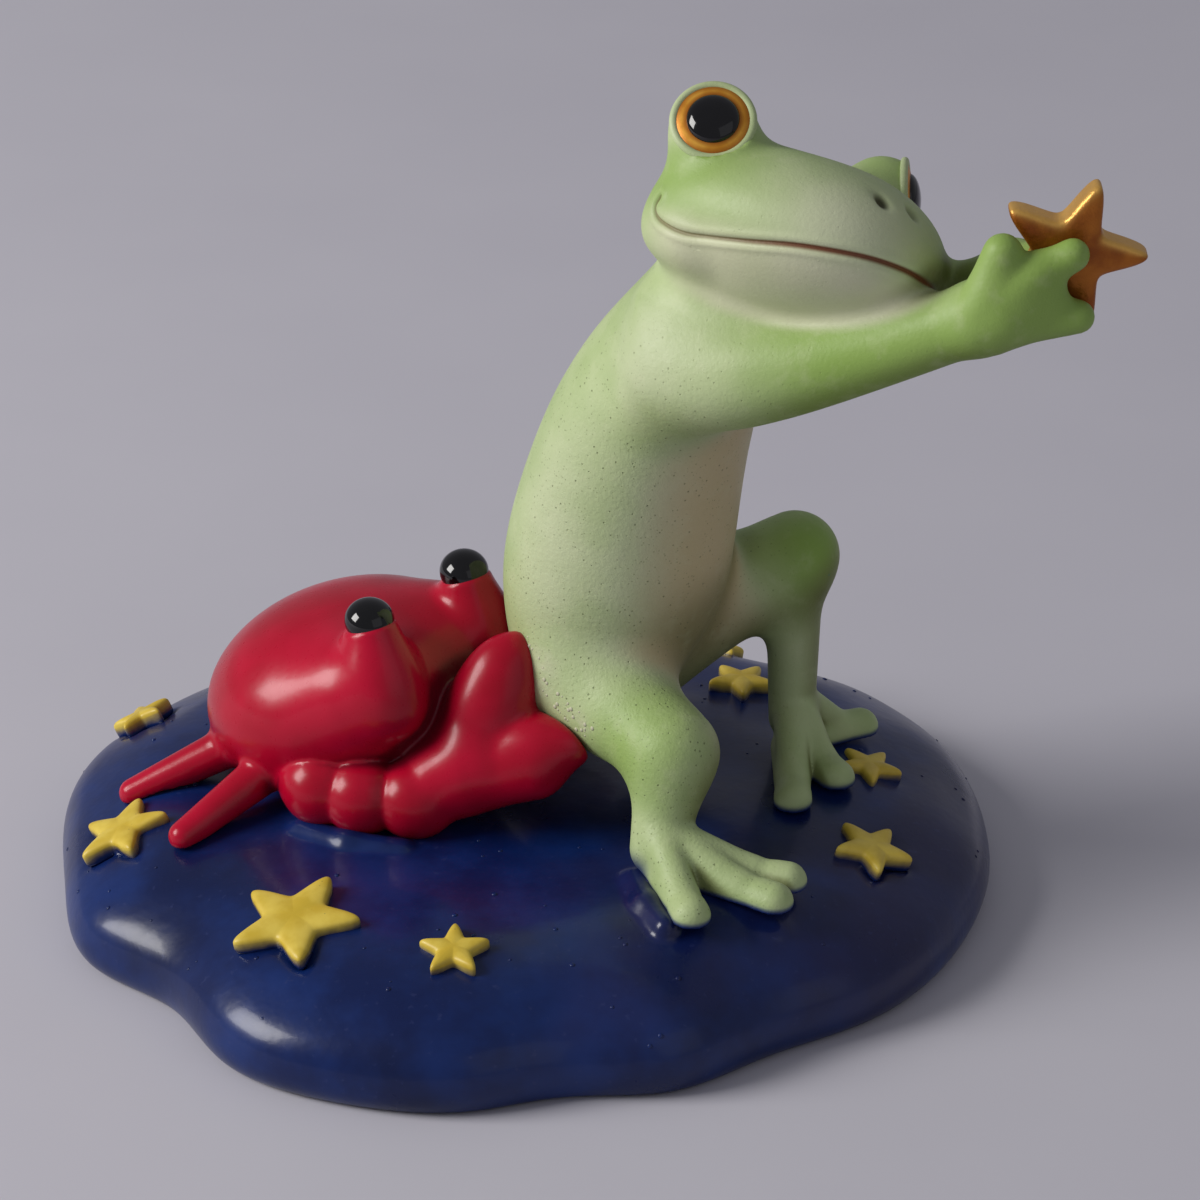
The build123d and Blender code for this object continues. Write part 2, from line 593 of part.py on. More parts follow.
def main():
    """Makes every piece, fits them together and writes them out."""
    nodes = {}
    pillow = base_pillow()
    base = pillow
    for leg, toes in ((RIGHT_LEG, RIGHT_TOES), (LEFT_LEG, LEFT_TOES)):
        base = base + foot_pad(leg, toes)
    base = base + claw_pad(RIGHT_CLAW_SEGMENTS)
    base = base - [base_star_seat(*layout) for layout in STAR_LAYOUT]

    head = head_casting()
    torso = trimmed(torso_casting(), head)
    for side, word in ((-1, "right"), (1, "left")):
        nodes[f"frog_{word}_iris"] = iris(side)
        nodes[f"frog_{word}_pupil"] = pupil(side)
    star = held_star()
    grip = HELD_STAR_THICKNESS / 2 + FINGER_TIP_RADIUS
    right_arm = trimmed(arm_casting(RIGHT_ARM, RIGHT_FINGERS, -grip), torso, head, star)
    left_arm = trimmed(arm_casting(LEFT_ARM, LEFT_FINGERS, grip), torso, head, star, right_arm)
    right_leg = trimmed(leg_casting(RIGHT_LEG, RIGHT_TOES), torso)
    left_leg = trimmed(leg_casting(LEFT_LEG, LEFT_TOES), torso, right_leg)
    for number, layout in enumerate(STAR_LAYOUT, start=1):
        nodes[f"base_star_{number}"] = trimmed(base_star(*layout), right_leg, left_leg)

    shell = trimmed(crab_shell(), base)
    right_claw = crab_claw(RIGHT_CLAW_SEGMENTS, RIGHT_CLAW_PALM, RIGHT_CLAW_TIPS)
    right_claw = trimmed(right_claw, shell, base, torso, right_leg)
    left_claw = crab_claw(LEFT_CLAW_SEGMENTS, LEFT_CLAW_PALM, LEFT_CLAW_TIPS)
    left_claw = trimmed(left_claw, shell, base, torso, left_leg)
    for name, (root, tip) in CRAB_LEGS.items():
        nodes[name] = trimmed(crab_leg(root, tip), pillow, shell, right_claw, left_claw)
    for side, word in ((-1, "right"), (1, "left")):
        nodes[f"crab_{word}_eye"] = crab_eye(side)
        nodes[f"crab_{word}_eye_stalk"] = trimmed(crab_stalk(side), shell, crab_eye(side))

    castings = {
        "cloud_base": base,
        "frog_torso": torso,
        "frog_head": head,
        "frog_right_arm": right_arm,
        "frog_left_arm": left_arm,
        "frog_right_leg": right_leg,
        "frog_left_leg": left_leg,
        "crab_shell": shell,
        "crab_right_claw": right_claw,
        "crab_left_claw": left_claw,
    }
    drilled = {
        "neck_pin": ("frog_torso", "frog_head"),
        "shoulder_pins": ("frog_torso", "frog_right_arm", "frog_left_arm"),
        "hip_pins": ("frog_torso", "frog_right_leg", "frog_left_leg"),
        "foot_pins": ("cloud_base", "frog_right_leg", "frog_left_leg"),
        "crab_mount_pins": ("cloud_base", "crab_shell"),
        "claw_pins": ("crab_shell", "crab_right_claw", "crab_left_claw"),
    }
    for group, lines in pin_lines().items():
        nodes[group] = Compound([dowel(*line) for line in lines])
        for name in drilled[group]:
            castings[name] = castings[name] - [dowel_hole(*line) for line in lines]
    nodes.update(castings)
    nodes["held_star"] = star

    os.makedirs("parts", exist_ok=True)
    for name, shape in nodes.items():
        export_step(shape, f"parts/{name}.step")


main()
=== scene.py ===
"""The looks of a cast resin frog figurine: a painted frog with a gold star, a red crab and a blue star base.

The forms are worked as distance fields in millimetres, like clay over the castings, and then skinned.
"""
import math

import bmesh
import bpy
import numpy as np
import openvdb
from mathutils import Matrix, Vector


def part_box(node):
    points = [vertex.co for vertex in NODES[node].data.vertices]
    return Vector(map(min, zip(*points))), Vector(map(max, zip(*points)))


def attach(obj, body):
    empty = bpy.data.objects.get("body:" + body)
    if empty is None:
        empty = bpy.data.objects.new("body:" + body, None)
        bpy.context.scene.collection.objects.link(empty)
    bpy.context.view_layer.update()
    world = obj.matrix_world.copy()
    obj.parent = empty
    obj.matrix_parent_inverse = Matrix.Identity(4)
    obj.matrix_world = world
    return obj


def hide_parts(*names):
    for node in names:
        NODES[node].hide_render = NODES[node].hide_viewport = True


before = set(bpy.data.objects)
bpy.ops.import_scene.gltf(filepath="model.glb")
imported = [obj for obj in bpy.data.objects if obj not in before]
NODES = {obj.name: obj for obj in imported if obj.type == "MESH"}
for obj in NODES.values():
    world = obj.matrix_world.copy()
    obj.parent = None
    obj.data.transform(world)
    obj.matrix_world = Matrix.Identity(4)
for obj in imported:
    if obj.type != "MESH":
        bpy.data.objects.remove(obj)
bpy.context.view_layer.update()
MM = 0.001

# Clay, in millimetres: how far distances are kept, its steps, and the room left around a form
BAND = 4.0
FROG_STEP = 0.22
CRAB_STEP = 0.22
BASE_STEP = 0.3
CLAY_ROOM = 1.5
BASE_HEADROOM = 2.5
# Rounds in which points are moved onto a surface, and shares of a reach at which folds are felt for painted
# shade
SETTLE_ROUNDS = 2
FOLD_SHARES = (0.3, 0.6, 1.0)
# Points of a CAD mesh that are closer than this, in metres, are one
WELD = 1e-7
# Triangles kept when a skin is thinned; the frog's face is made finer after that
FROG_TRIANGLES = 100000
CRAB_TRIANGLES = 90000
BASE_TRIANGLES = 120000

FROG_CASTINGS = (
    "frog_torso", "frog_head", "frog_right_arm", "frog_left_arm", "frog_right_leg", "frog_left_leg",
)

# The frog's head: its middle, how it is turned, its half axes forward, to the side, up and to the rear
HEAD_MIDDLE = np.array((20.2, -4.6, 62.2))
HEAD_TURN = math.radians(54)
HEAD_TIP_UP = math.radians(12)
HEAD_LEAN = math.radians(30)
HEAD_RADII = (15.2, 11.5, 6.9)
NAPE_RADIUS = 7.4
HEAD_ROOM = 20
# Cheek rods: rear and front ends ahead, to the side and up of the head's middle
CHEEK_REAR = (-2.4, 8.1, -2.4)
CHEEK_FRONT = (0.3, 8.3, -2.8)
CHEEK_REAR_RADIUS, CHEEK_FRONT_RADIUS, CHEEK_CREASE = 2.3, 2.1, 2.4
# Eyes: the ball's place in the head, the way it looks, its radius, and the flat cut for its ring
EYE_PLACE = (-0.3, 8.8, 5.3)
EYE_AIM = math.radians(44)
EYE_TIP_UP = math.radians(18)
EYE_BALL = 3.5
EYE_CREASE = 2.2
EYE_RING = 2.9
EYE_RING_DEPTH = 2.165
EYE_CUT = 0.3
EYE_ROOM = 6
# Right half of the mouth line from its curl to the middle of the snout: forward, left, up
MOUTH_LINE = (
    (-0.9, -11.2, -0.7), (-1.3, -11.2, -1.4), (-1.0, -11.1, -2.1), (0.2, -10.9, -2.6), (2.9, -10.2, -2.95),
    (7.1, -9.1, -2.55), (11.2, -7.2, -1.9), (13.6, -4.4, -1.3), (14.7, -1.6, -1.0),
)
NOSTRIL = (12.9, -1.6, 3.6)


class Clay:
    """A block of space cut in even steps, in which forms are kept as distances: negative inside."""

    def __init__(self, low, high, step):
        self.step = step
        self.first = np.floor(np.array(low) / step).astype(int)
        last = np.ceil(np.array(high) / step).astype(int)
        lines = [(np.arange(a, b + 1) * step).astype(np.float32) for a, b in zip(self.first, last)]
        self.lines = lines
        self.shape = tuple(len(line) for line in lines)

    def places(self):
        """The coordinates of the whole block."""
        return np.meshgrid(*self.lines, indexing="ij", sparse=True)

    def window(self, low, high):
        """The part of the block between two corners, and its coordinates."""
        cuts = []
        for line, a, b in zip(self.lines, low, high):
            cuts.append(slice(int(np.searchsorted(line, a)), int(np.searchsorted(line, b, side="right"))))
        places = np.meshgrid(*[line[cut] for line, cut in zip(self.lines, cuts)], indexing="ij", sparse=True)
        return tuple(cuts), places

    def casting(self, *names):
        """The form of one or more CAD nodes, from merged copies of their meshes."""
        field = np.full(self.shape, BAND, np.float32)
        scale = openvdb.createLinearTransform(voxelSize=self.step)
        for name in names:
            mesh = bmesh.new()
            mesh.from_mesh(NODES[name].data)
            bmesh.ops.remove_doubles(mesh, verts=mesh.verts, dist=WELD)
            bmesh.ops.triangulate(mesh, faces=mesh.faces)
            mesh.verts.index_update()
            points = np.array([v.co for v in mesh.verts], np.float32) / MM
            corners = np.array([[v.index for v in f.verts] for f in mesh.faces], np.uint32)
            mesh.free()
            grid = openvdb.FloatGrid.createLevelSetFromPolygons(
                points, triangles=corners, transform=scale, halfWidth=BAND / self.step
            )
            own = np.full(self.shape, BAND, np.float32)
            grid.copyToArray(own, ijk=tuple(int(i) for i in self.first))
            np.minimum(field, own, out=field)
        return field

    def add_rod(self, field, start, end, start_radius, end_radius, crease):
        """Melts a round rod into a field."""
        start, end = np.array(start, float), np.array(end, float)
        room = max(start_radius, end_radius) + crease + 1
        where, places = self.window(np.minimum(start, end) - room, np.maximum(start, end) + room)
        field[where] = melt(field[where], rod(places, start, end, start_radius, end_radius), crease)

    def add_egg(self, field, middle, ways, radii, crease):
        """Melts an egg into a field."""
        room = max(radii) + crease + 1
        where, places = self.window(np.array(middle) - room, np.array(middle) + room)
        field[where] = melt(field[where], egg(places, middle, ways, radii), crease)

    def at(self, field, points):
        """The field at points anywhere in the block."""
        place = points / self.step - self.first
        corner = np.clip(np.floor(place).astype(int), 0, np.array(self.shape) - 2)
        part = place - corner
        total = np.zeros(len(points))
        for step in np.ndindex(2, 2, 2):
            share = np.prod(np.abs(1 - np.array(step) - part), axis=1)
            total += share * field[tuple((corner + step).T)]
        return total

    def outward(self, field, points):
        """The way out of the form at points near its surface."""
        ways = np.empty_like(points)
        for axis in range(3):
            nudge = np.zeros(3)
            nudge[axis] = self.step
            ways[:, axis] = self.at(field, points + nudge) - self.at(field, points - nudge)
        return ways / np.maximum(np.linalg.norm(ways, axis=1, keepdims=True), 1e-9)

    def settled(self, field, points):
        """Points near the surface, moved onto it."""
        for _ in range(SETTLE_ROUNDS):
            points = points - self.outward(field, points) * self.at(field, points)[:, None]
        return points

    def folds(self, field, points, ways, reach):
        """How far the form closes round each point, from 0 on open ground to 1 deep in a crease; it sets the
        painted shade.
        """
        total = np.zeros(len(points))
        for share in FOLD_SHARES:
            out = reach * share
            total += np.clip((out - self.at(field, points + ways * out)) / out, 0, 1)
        return total / len(FOLD_SHARES)

    def skinned(self, name, field, triangles, fine=None):
        """The field's outer surface thinned to so many triangles, then made finer near some points."""
        grid = openvdb.FloatGrid(BAND)
        grid.copyFromArray(np.clip(field, -BAND, BAND), ijk=tuple(int(i) for i in self.first))
        grid.transform = openvdb.createLinearTransform(voxelSize=self.step)
        points, _, quads = grid.convertToPolygons(isovalue=0.0, adaptivity=0.0)
        quads = largest_shell(len(points), np.asarray(quads, np.int64))
        mesh = bpy.data.meshes.new(name)
        mesh.from_pydata((points * MM).tolist(), [], quads.tolist())
        piece = piece_from(name, mesh)
        thin = piece.modifiers.new("thin", "DECIMATE")
        thin.ratio = min(1.0, triangles / (2 * len(quads)))
        piece.data = plain_mesh(piece)
        tidy = bmesh.new()
        tidy.from_mesh(piece.data)
        bmesh.ops.delete(tidy, geom=[v for v in tidy.verts if not v.link_faces], context="VERTS")
        bmesh.ops.triangulate(tidy, faces=tidy.faces)
        for reach in fine[1] if fine else ():
            near = [e for e in tidy.edges if near_any(e.verts[0].co, fine[0], reach)]
            bmesh.ops.subdivide_edges(tidy, edges=near, cuts=1)
            bmesh.ops.triangulate(tidy, faces=tidy.faces)
        bmesh.ops.recalc_face_normals(tidy, faces=tidy.faces)
        tidy.to_mesh(piece.data)
        tidy.free()
        move_points(piece.data, self.settled(field, points_of(piece.data)))
        shade_smooth(piece.data)
        return piece


def near_any(point, places, reach):
    """Whether a point in metres lies within reach of any of some places in millimetres."""
    gap = places - np.array(point) / MM
    return float(np.min(np.einsum("ij,ij->i", gap, gap))) < reach * reach


def largest_shell(count, faces):
    """The faces of the largest connected part of a mesh."""
    label = np.arange(count)
    while True:
        low = label[faces].min(axis=1)
        new = label.copy()
        for corner in range(faces.shape[1]):
            np.minimum.at(new, faces[:, corner], low)
        new = new[new]
        if np.array_equal(new, label):
            break
        label = new
    parts, sizes = np.unique(label[faces[:, 0]], return_counts=True)
    return faces[label[faces[:, 0]] == parts[np.argmax(sizes)]]


def points_of(mesh):
    """A mesh's points in millimetres."""
    flat = np.empty(len(mesh.vertices) * 3)
    mesh.vertices.foreach_get("co", flat)
    return flat.reshape(-1, 3) / MM


def move_points(mesh, points):
    """Gives a mesh's points new places in millimetres."""
    mesh.vertices.foreach_set("co", (points * MM).ravel())
    mesh.update()


def shade_smooth(mesh):
    """Shades a mesh's faces as one smooth surface."""
    mesh.polygons.foreach_set("use_smooth", [True] * len(mesh.polygons))


def room_of(names):
    """The low and high corners of some CAD nodes, in millimetres."""
    low = np.min([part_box(name)[0] for name in names], axis=0) / MM
    return low, np.max([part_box(name)[1] for name in names], axis=0) / MM


def placed(middle, ways, place):
    """A point given by its parts along three ways from a middle."""
    return middle + sum(part * way for part, way in zip(place, ways))


def mark(mesh, name, values):
    """Keeps a value between 0 and 1 at each point of a mesh."""
    layer = mesh.attributes.new(name, "FLOAT", "POINT")
    layer.data.foreach_set("value", np.clip(values, 0, 1).astype(np.float32))


def plain_mesh(piece):
    """A piece's mesh with its modifiers worked in, which are then taken off."""
    mesh = bpy.data.meshes.new_from_object(piece.evaluated_get(bpy.context.evaluated_depsgraph_get()))
    piece.modifiers.clear()
    return mesh


def melt(a, b, crease):
    """Two forms as one, with the crease between them filled."""
    share = np.maximum(crease - np.abs(a - b), 0) / crease
    return np.minimum(a, b) - share * share * crease / 4


def rod(places, start, end, start_radius, end_radius):
    """A round rod between two points, with ball ends."""
    x, y, z = places
    way = np.array(end, float) - start
    along = ((x - start[0]) * way[0] + (y - start[1]) * way[1] + (z - start[2]) * way[2]) / way.dot(way)
    along = np.clip(along, 0, 1)
    gap = (x - start[0] - along * way[0]) ** 2
    gap = gap + (y - start[1] - along * way[1]) ** 2 + (z - start[2] - along * way[2]) ** 2
    return np.sqrt(gap) - (start_radius + (end_radius - start_radius) * along)


def egg(places, middle, ways, radii):
    """An egg with three half axes along three ways."""
    total = squeezed = 0
    for way, radius in zip(ways, radii):
        part = sum((place - m) * w for place, m, w in zip(places, middle, way)) / radius
        total = total + part * part
        squeezed = squeezed + (part / radius) ** 2
    return np.sqrt(total) * (np.sqrt(total) - 1) / np.maximum(np.sqrt(squeezed), 1e-6)


def softened(field, steps, axes=(0, 1, 2)):
    """A field with its edges eased over some widths, in steps of its block."""
    for step in steps:
        for axis in axes:
            ahead = np.roll(field, step, axis)
            behind = np.roll(field, -step, axis)
            field = (ahead + behind + 2 * field) / 4
    return field


def ease(low, high, value):
    """A smooth step from 0 at one value to 1 at another."""
    part = np.clip((value - low) / (high - low), 0, 1)
    return part * part * (3 - 2 * part)


def spot(points, middle, radii):
    """A soft spot of paint: 1 in its middle, 0 outside its radii."""
    gap = (points - np.array(middle)) / np.array(radii)
    return ease(1, 0, np.linalg.norm(gap, axis=1))


def glow(points, middle, radii):
    """A spot of sprayed paint that thins out evenly from its middle."""
    return np.exp(-np.sum(((points - np.array(middle)) / np.array(radii)) ** 2, axis=1))


def flowing(points, steps):
    """Points along a smooth line through some points."""
    points = np.array(points, float)
    ends = np.vstack((2 * points[0] - points[1], points, 2 * points[-1] - points[-2]))
    line = []
    for a, b, c, d in zip(ends, ends[1:], ends[2:], ends[3:]):
        for t in np.arange(steps) / steps:
            bend = (2 * a - 5 * b + 4 * c - d) * t**2 + (3 * b - a - 3 * c + d) * t**3
            line.append(0.5 * (2 * b + (c - a) * t + bend))
    line.append(points[-1])
    return np.array(line)


def line_gap(points, line):
    """Distance of points from a line of points."""
    best = np.full(len(points), np.inf)
    for a, b in zip(line, line[1:]):
        way = b - a
        along = np.clip((points - a) @ way / way.dot(way), 0, 1)
        best = np.minimum(best, np.linalg.norm(points - a - along[:, None] * way, axis=1))
    return best


def piece_from(name, mesh):
    """A new piece that shows a mesh."""
    piece = bpy.data.objects.new(name, mesh)
    bpy.context.scene.collection.objects.link(piece)
    return piece


def finished(piece, material, slot, *nodes):
    """Gives a piece its material and sets it on the figurine in place of its CAD nodes."""
    piece.data.materials.clear()
    piece.data.materials.append(material)
    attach(piece, "root")
    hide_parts(*nodes)


def turned(name, profile, frame_matrix, around=72):
    """A round piece: an outline of radius and height, spun about the frame's Z axis."""
    mesh = bmesh.new()
    rings = []
    for radius, height in profile:
        ring = []
        for step in range(around):
            angle = 2 * math.pi * step / around
            ring.append(mesh.verts.new((radius * math.cos(angle), radius * math.sin(angle), height)))
        rings.append(ring)
    for lower, upper in zip(rings, rings[1:]):
        for step in range(around):
            after = (step + 1) % around
            mesh.faces.new((lower[step], lower[after], upper[after], upper[step]))
    bmesh.ops.remove_doubles(mesh, verts=mesh.verts, dist=1e-5)
    bmesh.ops.holes_fill(mesh, edges=[e for e in mesh.edges if e.is_boundary], sides=0)
    bmesh.ops.recalc_face_normals(mesh, faces=mesh.faces)
    data = bpy.data.meshes.new(name)
    mesh.to_mesh(data)
    mesh.free()
    data.transform(Matrix.Scale(MM, 4) @ frame_matrix)
    shade_smooth(data)
    return piece_from(name, data)


def arc(middle, radii, first, last, steps):
    """Part of an ellipse as an outline of radius and height, from one angle to another."""
    angles = [first + (last - first) * step / steps for step in range(steps + 1)]
    return [(middle[0] + radii[0] * math.cos(a), middle[1] + radii[1] * math.sin(a)) for a in angles]


class Wire:
    """An output in a node tree that can stand in a sum: each operator adds a Math node."""

    def __init__(self, tree, socket=None):
        self.tree = tree
        self.socket = socket

    def node(self, kind, sockets=None, output=0, **settings):
        """Adds a node: its settings first, then the values or links of its sockets."""
        made = self.tree.nodes.new(kind)
        for name, value in settings.items():
            setattr(made, name, value)
        for name, value in (sockets or {}).items():
            if isinstance(value, Wire):
                self.tree.links.new(value.socket, made.inputs[name])
            else:
                made.inputs[name].default_value = value
        return Wire(self.tree, made.outputs[output])

    def math(self, operation, *terms):
        return self.node("ShaderNodeMath", dict(enumerate(terms)), operation=operation)

    def __add__(self, other):
        return self.math("ADD", self, other)

    __radd__ = __add__

    def __sub__(self, other):
        return self.math("SUBTRACT", self, other)

    def __rsub__(self, other):
        return self.math("SUBTRACT", other, self)

    def __mul__(self, other):
        return self.math("MULTIPLY", self, other)

    __rmul__ = __mul__

    def __truediv__(self, other):
        return self.math("DIVIDE", self, other)

    def __pow__(self, other):
        return self.math("POWER", self, other)

    def clamped(self):
        return self.node("ShaderNodeClamp", {0: self})

    def eased(self, low, high):
        """A smooth step from 0 at one value to 1 at another."""
        sockets = {0: self, 1: low, 2: high, 3: 0.0, 4: 1.0}
        return self.node("ShaderNodeMapRange", sockets, interpolation_type="SMOOTHSTEP")

    def attribute(self, name):
        return self.node("ShaderNodeAttribute", None, "Fac", attribute_name=name)

    def place(self):
        return self.node("ShaderNodeTexCoord", {}, "Object")

    def noise(self, scale, detail=2.0, rough=0.5):
        sockets = {"Vector": self.place(), "Scale": scale, "Detail": detail, "Roughness": rough}
        return self.node("ShaderNodeTexNoise", sockets)

    def cells(self, scale):
        return self.node("ShaderNodeTexVoronoi", {"Vector": self.place(), "Scale": scale})

    def mixed(self, share, first, second):
        """One colour laid over another."""
        sockets = {0: share, 6: first, 7: second}
        return self.node("ShaderNodeMix", sockets, 2, data_type="RGBA", blend_type="MIX")

    def coated(self, colour, *coats):
        """A colour with coats of paint over it, each given as its share and its colour."""
        for share, coat in coats:
            colour = self.mixed(share, colour, coat)
        return colour

    def bump(self, height, strength, distance, under=None):
        sockets = {"Height": height, "Strength": strength, "Distance": distance}
        if under:
            sockets["Normal"] = under
        return self.node("ShaderNodeBump", sockets)


def paint(red, green, blue):
    """A colour given as it shows on a screen, from 0 to 255."""
    light = []
    for value in (red, green, blue):
        share = value / 255
        light.append(share / 12.92 if share <= 0.04045 else ((share + 0.055) / 1.055) ** 2.4)
    return (*light, 1.0)


# The frog
PALE_GREEN = paint(166, 186, 126)
LIGHT_GREEN = paint(182, 198, 144)
LEAF_GREEN = paint(132, 166, 66)
CREAM = paint(208, 212, 180)
BLUSH = paint(200, 172, 122)
# Olive painted shade for creases, undersides and the legs' right-facing sides; partly the figurine's own
# olive airbrushing
OLIVE_SHADE = paint(92, 90, 34)
PALE_WASH = paint(212, 216, 178)
PIT_GREEN = paint(92, 100, 54)
LIP_OLIVE = paint(112, 98, 56)
LIP_RED = paint(120, 72, 46)
NOSTRIL_BROWN = paint(66, 66, 28)
DRY_GLUE = paint(206, 202, 178)
FOOT_BLUE = paint(20, 42, 104)
TEAL_FLECK = paint(40, 120, 120)
EYE_AMBER = paint(212, 142, 36)
EYE_YELLOW = paint(238, 178, 68)
EYE_BROWN = paint(172, 98, 20)
BEAD_DEEP = paint(3, 3, 4)
BEAD_HAZE = paint(9, 9, 11)
GLUE_GREY = paint(182, 184, 150)
GLUE_PALE = paint(204, 202, 176)
# The base, the stars and the crab
NIGHT_BLUE = paint(8, 27, 76)
SEA_BLUE = paint(14, 42, 102)
DUSK_VIOLET = paint(36, 33, 68)
INK_BLUE = paint(9, 15, 42)
DUST_BLUE = paint(48, 58, 104)
STAR_OCHRE = paint(206, 176, 52)
STAR_LEMON = paint(226, 200, 84)
STAR_FLECK = paint(120, 110, 50)
STAR_RIM = paint(18, 38, 92)
GOLD_BROWN = paint(146, 74, 16)
GOLD_OCHRE = paint(180, 106, 30)
# Lighter gold painted as a highlight on the held star's upward faces
GOLD_HIGHLIGHT = paint(240, 190, 98)
CRAB_DEEP = paint(160, 2, 32)
CRAB_BRIGHT = paint(186, 5, 46)
# Dark red painted shade for the crab's creases
CRAB_FOLD_SHADE = paint(78, 3, 22)
# Pins and studio
STEEL_GREY = paint(150, 150, 152)
STEEL_PALE = paint(184, 184, 186)
FLOOR_GREY = paint(196, 194, 203)
FLOOR_PALE = paint(203, 201, 209)
STUDIO_GREY = paint(206, 206, 216)


def material(name, build):
    """A material whose shader's sockets come from a function of a wire in its tree."""
    made = bpy.data.materials.new(name)
    made.use_nodes = True
    tree = made.node_tree
    shader = tree.nodes["Principled BSDF"]
    for socket, value in build(Wire(tree)).items():
        if isinstance(value, Wire):
            tree.links.new(value.socket, shader.inputs[socket])
        else:
            shader.inputs[socket].default_value = value
    return made


def frog_paint(wire):
    cloud = wire.noise(160.0, 3.0)
    wash = wire.noise(520.0, 3.0, 0.6)
    grain = wire.noise(2600.0, 3.0, 0.65)
    speck = wire.noise(420.0, 2.0)
    pit = wire.cells(1500.0).eased(0.15, 0.07) * speck.eased(0.4, 0.52)
    fine_pit = wire.cells(2600.0).eased(0.22, 0.1) * speck.eased(0.6, 0.45)
    pitted = wire.attribute("pitted")
    teal = wire.cells(330.0).eased(0.09, 0.05) * wire.noise(90.0, 1.0).eased(0.6, 0.66)
    colour = wire.coated(
        wire.mixed(cloud.eased(0.3, 0.7), PALE_GREEN, LIGHT_GREEN),
        (wire.attribute("leaf"), LEAF_GREEN),
        ((wire.attribute("cream_and_highlight") * (0.65 + 0.7 * cloud)).clamped(), CREAM),
        (wire.attribute("blush"), BLUSH),
        # Painted shade in creases, under the limbs and on the legs' right-facing sides
        ((wire.attribute("fold_shade") * (0.7 + 0.6 * cloud)).clamped() * 0.8, OLIVE_SHADE),
        (wash.eased(0.5, 0.75) * 0.13, PALE_WASH),
        (((pit * 0.6 + fine_pit * 0.5) * pitted).clamped(), PIT_GREEN),
        (wire.attribute("mouth"), wire.mixed(wire.attribute("ahead"), LIP_OLIVE, LIP_RED)),
        (wire.attribute("nostril"), NOSTRIL_BROWN),
        (wire.attribute("glue") * wash.eased(0.35, 0.6), DRY_GLUE),
        (wire.attribute("dip"), FOOT_BLUE),
        (teal * 0.6, TEAL_FLECK),
    )
    normal = wire.bump(grain * (0.45 + 0.55 * pitted), 0.55, 0.00011)
    normal = wire.bump(1 - pit * pitted, 0.6, 0.00014, normal)
    return {
        "Base Color": colour,
        "Roughness": 0.4 + 0.2 * grain,
        "Normal": normal,
        "Specular IOR Level": 0.42,
    }


def gold_eye_paint(wire):
    flake = wire.noise(3000.0, 2.0)
    wash = wire.noise(600.0, 2.0)
    colour = wire.mixed(wash.eased(0.3, 0.7), EYE_AMBER, EYE_YELLOW)
    colour = wire.mixed(wire.attribute("edge"), colour, EYE_BROWN)
    return {
        "Base Color": colour,
        "Metallic": 0.35 + 0.2 * flake,
        "Roughness": 0.3 + 0.15 * flake,
        "Normal": wire.bump(flake, 0.15, 0.00004),
    }


def black_bead_paint(wire):
    haze = wire.noise(900.0, 2.0)
    return {
        "Base Color": wire.mixed(haze, BEAD_DEEP, BEAD_HAZE),
        "Roughness": 0.05 + 0.06 * haze,
        "Specular IOR Level": 0.4,
        "Coat Weight": 0.3,
        "Coat Roughness": 0.05,
    }


def base_paint(wire):
    cloud = wire.noise(46.0, 3.0)
    drift = wire.noise(120.0, 4.0, 0.6)
    dust = wire.noise(1500.0, 3.0)
    brush = wire.noise(260.0, 3.0)
    colour = wire.coated(
        wire.mixed(drift.eased(0.35, 0.7), NIGHT_BLUE, SEA_BLUE),
        (cloud.eased(0.5, 0.72) * 0.65, DUSK_VIOLET),
        (cloud.eased(0.45, 0.25) * 0.6, INK_BLUE),
        (dust.eased(0.64, 0.74) * 0.35, DUST_BLUE),
    )
    normal = wire.bump(brush, 0.25, 0.0003)
    normal = wire.bump(dust, 0.12, 0.00008, normal)
    return {
        "Base Color": colour,
        "Roughness": 0.2 + 0.2 * drift,
        "Normal": normal,
        "Coat Weight": 0.12 + 0.2 * cloud,
        "Coat Roughness": 0.12,
        "Specular IOR Level": 0.28,
    }


def star_paint(wire):
    wash = wire.noise(420.0, 3.0)
    dots = wire.cells(1300.0).eased(0.12, 0.06) * wire.noise(500.0, 1.0).eased(0.5, 0.6)
    colour = wire.mixed(wash.eased(0.3, 0.7), STAR_OCHRE, STAR_LEMON)
    colour = wire.mixed(dots * 0.5, colour, STAR_FLECK)
    edge = (wire.attribute("crown") + 0.1 * (wash - 0.5)).eased(0.56, 0.46)
    colour = wire.mixed(edge, colour, STAR_RIM)
    return {
        "Base Color": colour,
        "Roughness": 0.42 - 0.2 * edge,
        "Normal": wire.bump(wire.noise(1800.0, 2.0), 0.15, 0.00006),
        "Coat Weight": edge * 0.6,
    }


def gold_star_paint(wire):
    flake = wire.noise(2400.0, 3.0, 0.65)
    wash = wire.noise(380.0, 3.0)
    colour = wire.mixed(wash.eased(0.35, 0.65), GOLD_BROWN, GOLD_OCHRE)
    # Painted highlight on the faces turned up
    colour = wire.mixed(wire.attribute("lit") * (0.6 + 0.5 * wash), colour, GOLD_HIGHLIGHT)
    return {
        "Base Color": colour,
        "Metallic": 0.55,
        "Roughness": 0.28 + 0.2 * flake,
        "Normal": wire.bump(flake, 0.5, 0.00014),
    }


